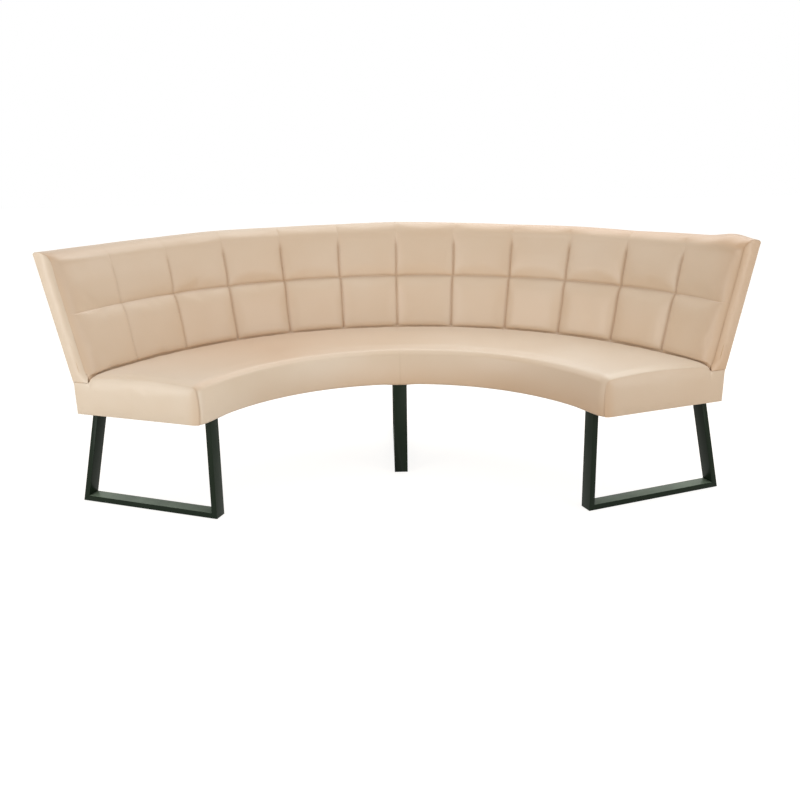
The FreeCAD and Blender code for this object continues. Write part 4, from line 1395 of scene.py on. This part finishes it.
@dataclass(frozen=True)
class SewnLine:
    """Stitches or staples set at an even pitch along lines, made by Geometry Nodes."""

    name: str
    kind: Fastening
    pitch: float
    length: float
    width: float
    height: float
    lift: float = 0.0

    def tree(self) -> bpy.types.NodeTree:
        """Build the node tree with named inputs for the sizes and the finish."""
        tree = bpy.data.node_groups.new(self.name, "GeometryNodeTree")
        sockets = tree.interface
        sockets.new_socket("Lines", in_out="INPUT", socket_type="NodeSocketGeometry")
        for key in ("Pitch", "Length", "Width", "Height"):
            sockets.new_socket(key, in_out="INPUT", socket_type="NodeSocketFloat")
        sockets.new_socket("Finish", in_out="INPUT", socket_type="NodeSocketMaterial")
        sockets.new_socket("Result", in_out="OUTPUT", socket_type="NodeSocketGeometry")
        graph = Graph(tree)
        given = graph.add("NodeGroupInput").outputs
        curve = graph.add("GeometryNodeMeshToCurve", {0: given["Lines"]}).outputs[0]
        spaced = graph.add("GeometryNodeResampleCurve", {"Curve": curve, "Length": given["Pitch"]},
                           mode="LENGTH").outputs[0]
        if self.kind is Fastening.STITCH:
            ball = {"Segments": 6, "Rings": 4, "Radius": 0.5}
            shape = graph.add("GeometryNodeMeshUVSphere", ball).outputs[0]
        else:
            bar = {"Vertices": 8, "Radius": 0.5, "Depth": 1.0}
            bar = graph.add("GeometryNodeMeshCylinder", bar).outputs[0]
            level = (0, math.pi / 2, 0)
            shape = graph.add("GeometryNodeTransform", {"Geometry": bar, "Rotation": level}).outputs[0]
        along = graph.add("GeometryNodeInputTangent").outputs[0]
        turned = graph.add("FunctionNodeAlignRotationToVector", {"Vector": along}, axis="X").outputs[0]
        above = graph.add("GeometryNodeInputNamedAttribute", {"Name": "up"},
                          data_type="FLOAT_VECTOR").outputs[0]
        upright = graph.add("FunctionNodeAlignRotationToVector", {"Rotation": turned, "Vector": above},
                            axis="Z", pivot_axis="X").outputs[0]
        size = {0: given["Length"], 1: given["Width"], 2: given["Height"]}
        size = graph.add("ShaderNodeCombineXYZ", size).outputs[0]
        placed = {"Points": spaced, "Instance": shape, "Rotation": upright, "Scale": size}
        placed = graph.add("GeometryNodeInstanceOnPoints", placed).outputs[0]
        real = graph.add("GeometryNodeRealizeInstances", {0: placed}).outputs[0]
        finished = graph.add("GeometryNodeSetMaterial", {"Geometry": real, "Material": given["Finish"]})
        graph.add("NodeGroupOutput", {"Result": finished.outputs[0]})
        return tree

    def build(self, lines: SeamLines, finish: bpy.types.Material) -> bpy.types.Object:
        """Set the stitches or staples along lines.

        Args:
            lines: for each line its points, and the outward directions there.
            finish: their material.

        Returns:
            The new piece, a plain mesh.
        """
        mesh = bpy.data.meshes.new(self.name)
        points = np.concatenate([line + self.lift * up for line, up in lines])
        edges, start = [], 0
        for line, _ in lines:
            edges += [(start + k, start + k + 1) for k in range(len(line) - 1)]
            start += len(line)
        mesh.from_pydata(points.tolist(), edges, [])
        above = mesh.attributes.new("up", "FLOAT_VECTOR", "POINT")
        above.data.foreach_set("vector", np.concatenate([up for _, up in lines]).astype(np.float32).ravel())
        piece = add_object(self.name, mesh)
        modifier = piece.modifiers.new(self.name, "NODES")
        modifier.node_group = self.tree()
        values = {"Pitch": self.pitch, "Length": self.length, "Width": self.width, "Height": self.height,
                  "Finish": finish}
        for item in modifier.node_group.interface.items_tree:
            if item.name in values:
                modifier[item.identifier] = values[item.name]
        apply_modifiers(piece)
        piece.data.shade_smooth()
        return piece


def seam_lines(piece: bpy.types.Object, seams: list[list[int]]) -> SeamLines:
    """Points and outward directions of a finished pad along its seams.

    Args:
        piece: a pad whose first points are those it was built with.
        seams: point numbers along each seam.

    Returns:
        For each seam its points and the directions there.
    """
    points = point_array(piece.data)
    directions = np.zeros(len(piece.data.vertices) * 3, np.float32)
    piece.data.vertex_normals.foreach_get("vector", directions)
    directions = directions.reshape(-1, 3)
    return [(points[seam], directions[seam]) for seam in seams]


QUILTING = SewnLine("quilting_thread", Fastening.STITCH, pitch=0.0044, length=0.0036, width=0.0009,
                    height=0.0008, lift=0.0002)
STAPLES = SewnLine("dust_cloth_staples", Fastening.STAPLE, pitch=0.040, length=0.0115, width=0.0010,
                   height=0.0009, lift=0.0003)


# Studio


@dataclass(frozen=True)
class Lamp:
    """One soft square lamp: where it hangs, the point that it faces, its power in watts and its side."""

    name: str
    place: Place
    aim: Place
    power: float
    size: float

    def build(self) -> None:
        """Hang the lamp out of the camera's sight."""
        data = bpy.data.lights.new(self.name, "AREA")
        data.energy = self.power
        data.size = self.size
        lamp = add_object(self.name, data)
        lamp.location = self.place
        lamp.rotation_mode = "QUATERNION"
        lamp.rotation_quaternion = (Vector(self.aim) - Vector(self.place)).to_track_quat("-Z", "Y")
        lamp.visible_camera = False


@dataclass(frozen=True)
class Studio:
    """Pale floor, white surroundings, soft lamps and the camera."""

    camera_place: Place = (-0.0519, -3.0716, 1.2114)
    yaw: float = math.radians(0.97)
    pitch: float = math.radians(16.95)
    roll: float = math.radians(-0.85)
    lens: float = 37.98
    sensor: float = 36.0
    floor_size: float = 30.0
    floor_tone: Colour = (0.42, 0.38, 0.33, 1.0)
    floor_glow: float = 0.85
    world_strength: float = 0.56
    sight: float = 100
    lamps: tuple[Lamp, ...] = (
        Lamp("over_rear", (0.8, 1.2, 3.2), (0, 0, 0.5), 43, 2.4),
        Lamp("rear", (0.0, 3.2, 2.6), (0, 0, 0.6), 7, 2.4),
        Lamp("low_right", (1.9, -1.9, 0.9), (-0.1, 0, 0.5), 13.5, 1.4),
        Lamp("low_left", (-2.6, -2.2, 0.9), (0, 0, 0.5), 34, 1.6),
        Lamp("bay", (0.15, -1.0, 0.2), (-0.9, -0.75, 0.45), 2.0, 0.4),
    )

    def camera(self) -> None:
        """Make the camera at the photograph's viewing angle."""
        data = bpy.data.cameras.new("camera")
        data.lens = self.lens
        data.sensor_width = self.sensor
        data.clip_end = self.sight
        level_share = math.cos(self.pitch)
        forward = Vector((math.sin(self.yaw) * level_share, math.cos(self.yaw) * level_share,
                          -math.sin(self.pitch)))
        level = Vector((math.cos(self.yaw), -math.sin(self.yaw), 0))
        above = level.cross(forward)
        right = math.cos(self.roll) * level + math.sin(self.roll) * above
        up = -math.sin(self.roll) * level + math.cos(self.roll) * above
        turn = Matrix((right, up, -forward)).transposed().to_4x4()
        camera = add_object("camera", data)
        camera.matrix_world = Matrix.Translation(self.camera_place) @ turn
        bpy.context.scene.camera = camera

    def seen_directly(self, graph: Graph) -> bpy.types.NodeSocket:
        """Mask of rays that come from the camera, or through gloss or glass."""
        path = graph.add("ShaderNodeLightPath").outputs
        seen = graph.math("MAXIMUM", path["Is Camera Ray"], path["Is Glossy Ray"])
        return graph.math("MAXIMUM", seen, path["Is Transmission Ray"])

    def floor(self) -> None:
        """Make the pale floor, which keeps the shadow and glows white to the camera."""
        mesh = bpy.data.meshes.new("floor")
        half = self.floor_size / 2
        corners = [(-half, -half, 0), (half, -half, 0), (half, half, 0), (-half, half, 0)]
        mesh.from_pydata(corners, [], [(0, 1, 2, 3)])
        floor = add_object("floor", mesh)
        material = bpy.data.materials.new("pale_floor")
        material.use_nodes = True
        graph = Graph(material.node_tree)
        shader = material.node_tree.nodes["Principled BSDF"]
        glow = graph.math("MULTIPLY", self.seen_directly(graph), self.floor_glow)
        graph.feed(shader, {"Base Color": self.floor_tone, "Roughness": 0.9, "Specular IOR Level": 0.0,
                            "Emission Color": (1, 1, 1, 1), "Emission Strength": glow})
        mesh.materials.append(material)

    def world(self) -> None:
        """Light the scene evenly, and show plain white behind it."""
        world = bpy.data.worlds.new("surroundings")
        bpy.context.scene.world = world
        world.use_nodes = True
        graph = Graph(world.node_tree)
        background = world.node_tree.nodes["Background"]
        extra = graph.math("MULTIPLY", self.seen_directly(graph), 1 - self.world_strength)
        strength = graph.math("ADD", extra, self.world_strength)
        graph.feed(background, {"Color": (1, 1, 1, 1), "Strength": strength})

    def build(self) -> None:
        """Make the whole studio."""
        bpy.context.scene.view_settings.view_transform = "Standard"
        self.camera()
        self.floor()
        self.world()
        for lamp in self.lamps:
            lamp.build()


def main() -> None:
    """Build the bench's looks around the frame, piece by piece."""
    logging.basicConfig(level=logging.INFO, format="%(message)s")
    finishes = make_finishes()
    finish_nodes(finishes)
    Studio().build()
    plan = Plan()
    back = BackPad(plan)
    seat = SeatPad(plan)
    ends = EndPanels(plan, seat, back)
    rear = RearPads(plan)
    underside = DustCloth(plan)
    legs = SledLegs()

    pad = back.build()
    subdivide(pad)
    attach_pad(pad, 0.8, finishes, "back_foam", "back_front_cover")
    thread = QUILTING.build(seam_lines(pad, back.seams()), finishes[Slot.LEATHER])
    attach(thread, Slot.LEATHER, finishes)

    pad = seat.build()
    subdivide(pad)
    attach_pad(pad, 0.8, finishes, "seat_foam", "seat_cover")

    for side in Side:
        for part, build in (("seat", ends.build_seat), ("back", ends.build_strip)):
            pad = build(side)
            subdivide(pad)
            attach_pad(pad, 0.7, finishes, "%s_%s_end_cover" % (part, side.name.lower()))

    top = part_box("back_rear_cover")[1].z
    pad = rear.build("back_rear_pad", plan.fold_height + rear.seam_gap, top)
    attach_pad(pad, 0.8, finishes, "back_rear_cover", "rear_padding")
    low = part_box("seat_rear_cover")[0].z
    pad = rear.build("seat_rear_pad", low, plan.fold_height - rear.seam_gap)
    attach_pad(pad, 0.8, finishes, "seat_rear_cover")

    cloth = underside.build()
    attach(cloth, Slot.DUST_CLOTH, finishes, "dust_cover")
    border = underside.border()
    down = np.broadcast_to(np.array([0.0, 0.0, -1.0]), border.shape)
    attach(STAPLES.build([(border, down)], finishes[Slot.ZINC]), Slot.ZINC, finishes)

    for name in ("left", "middle", "right"):
        for member in ("front_upright", "floor_bar", "rear_upright", "top_plate"):
            node = "%s_leg_%s" % (name, member)
            attach(legs.build(node), Slot.LEG_PAINT, finishes, node)


if __name__ == "__main__":
    main()
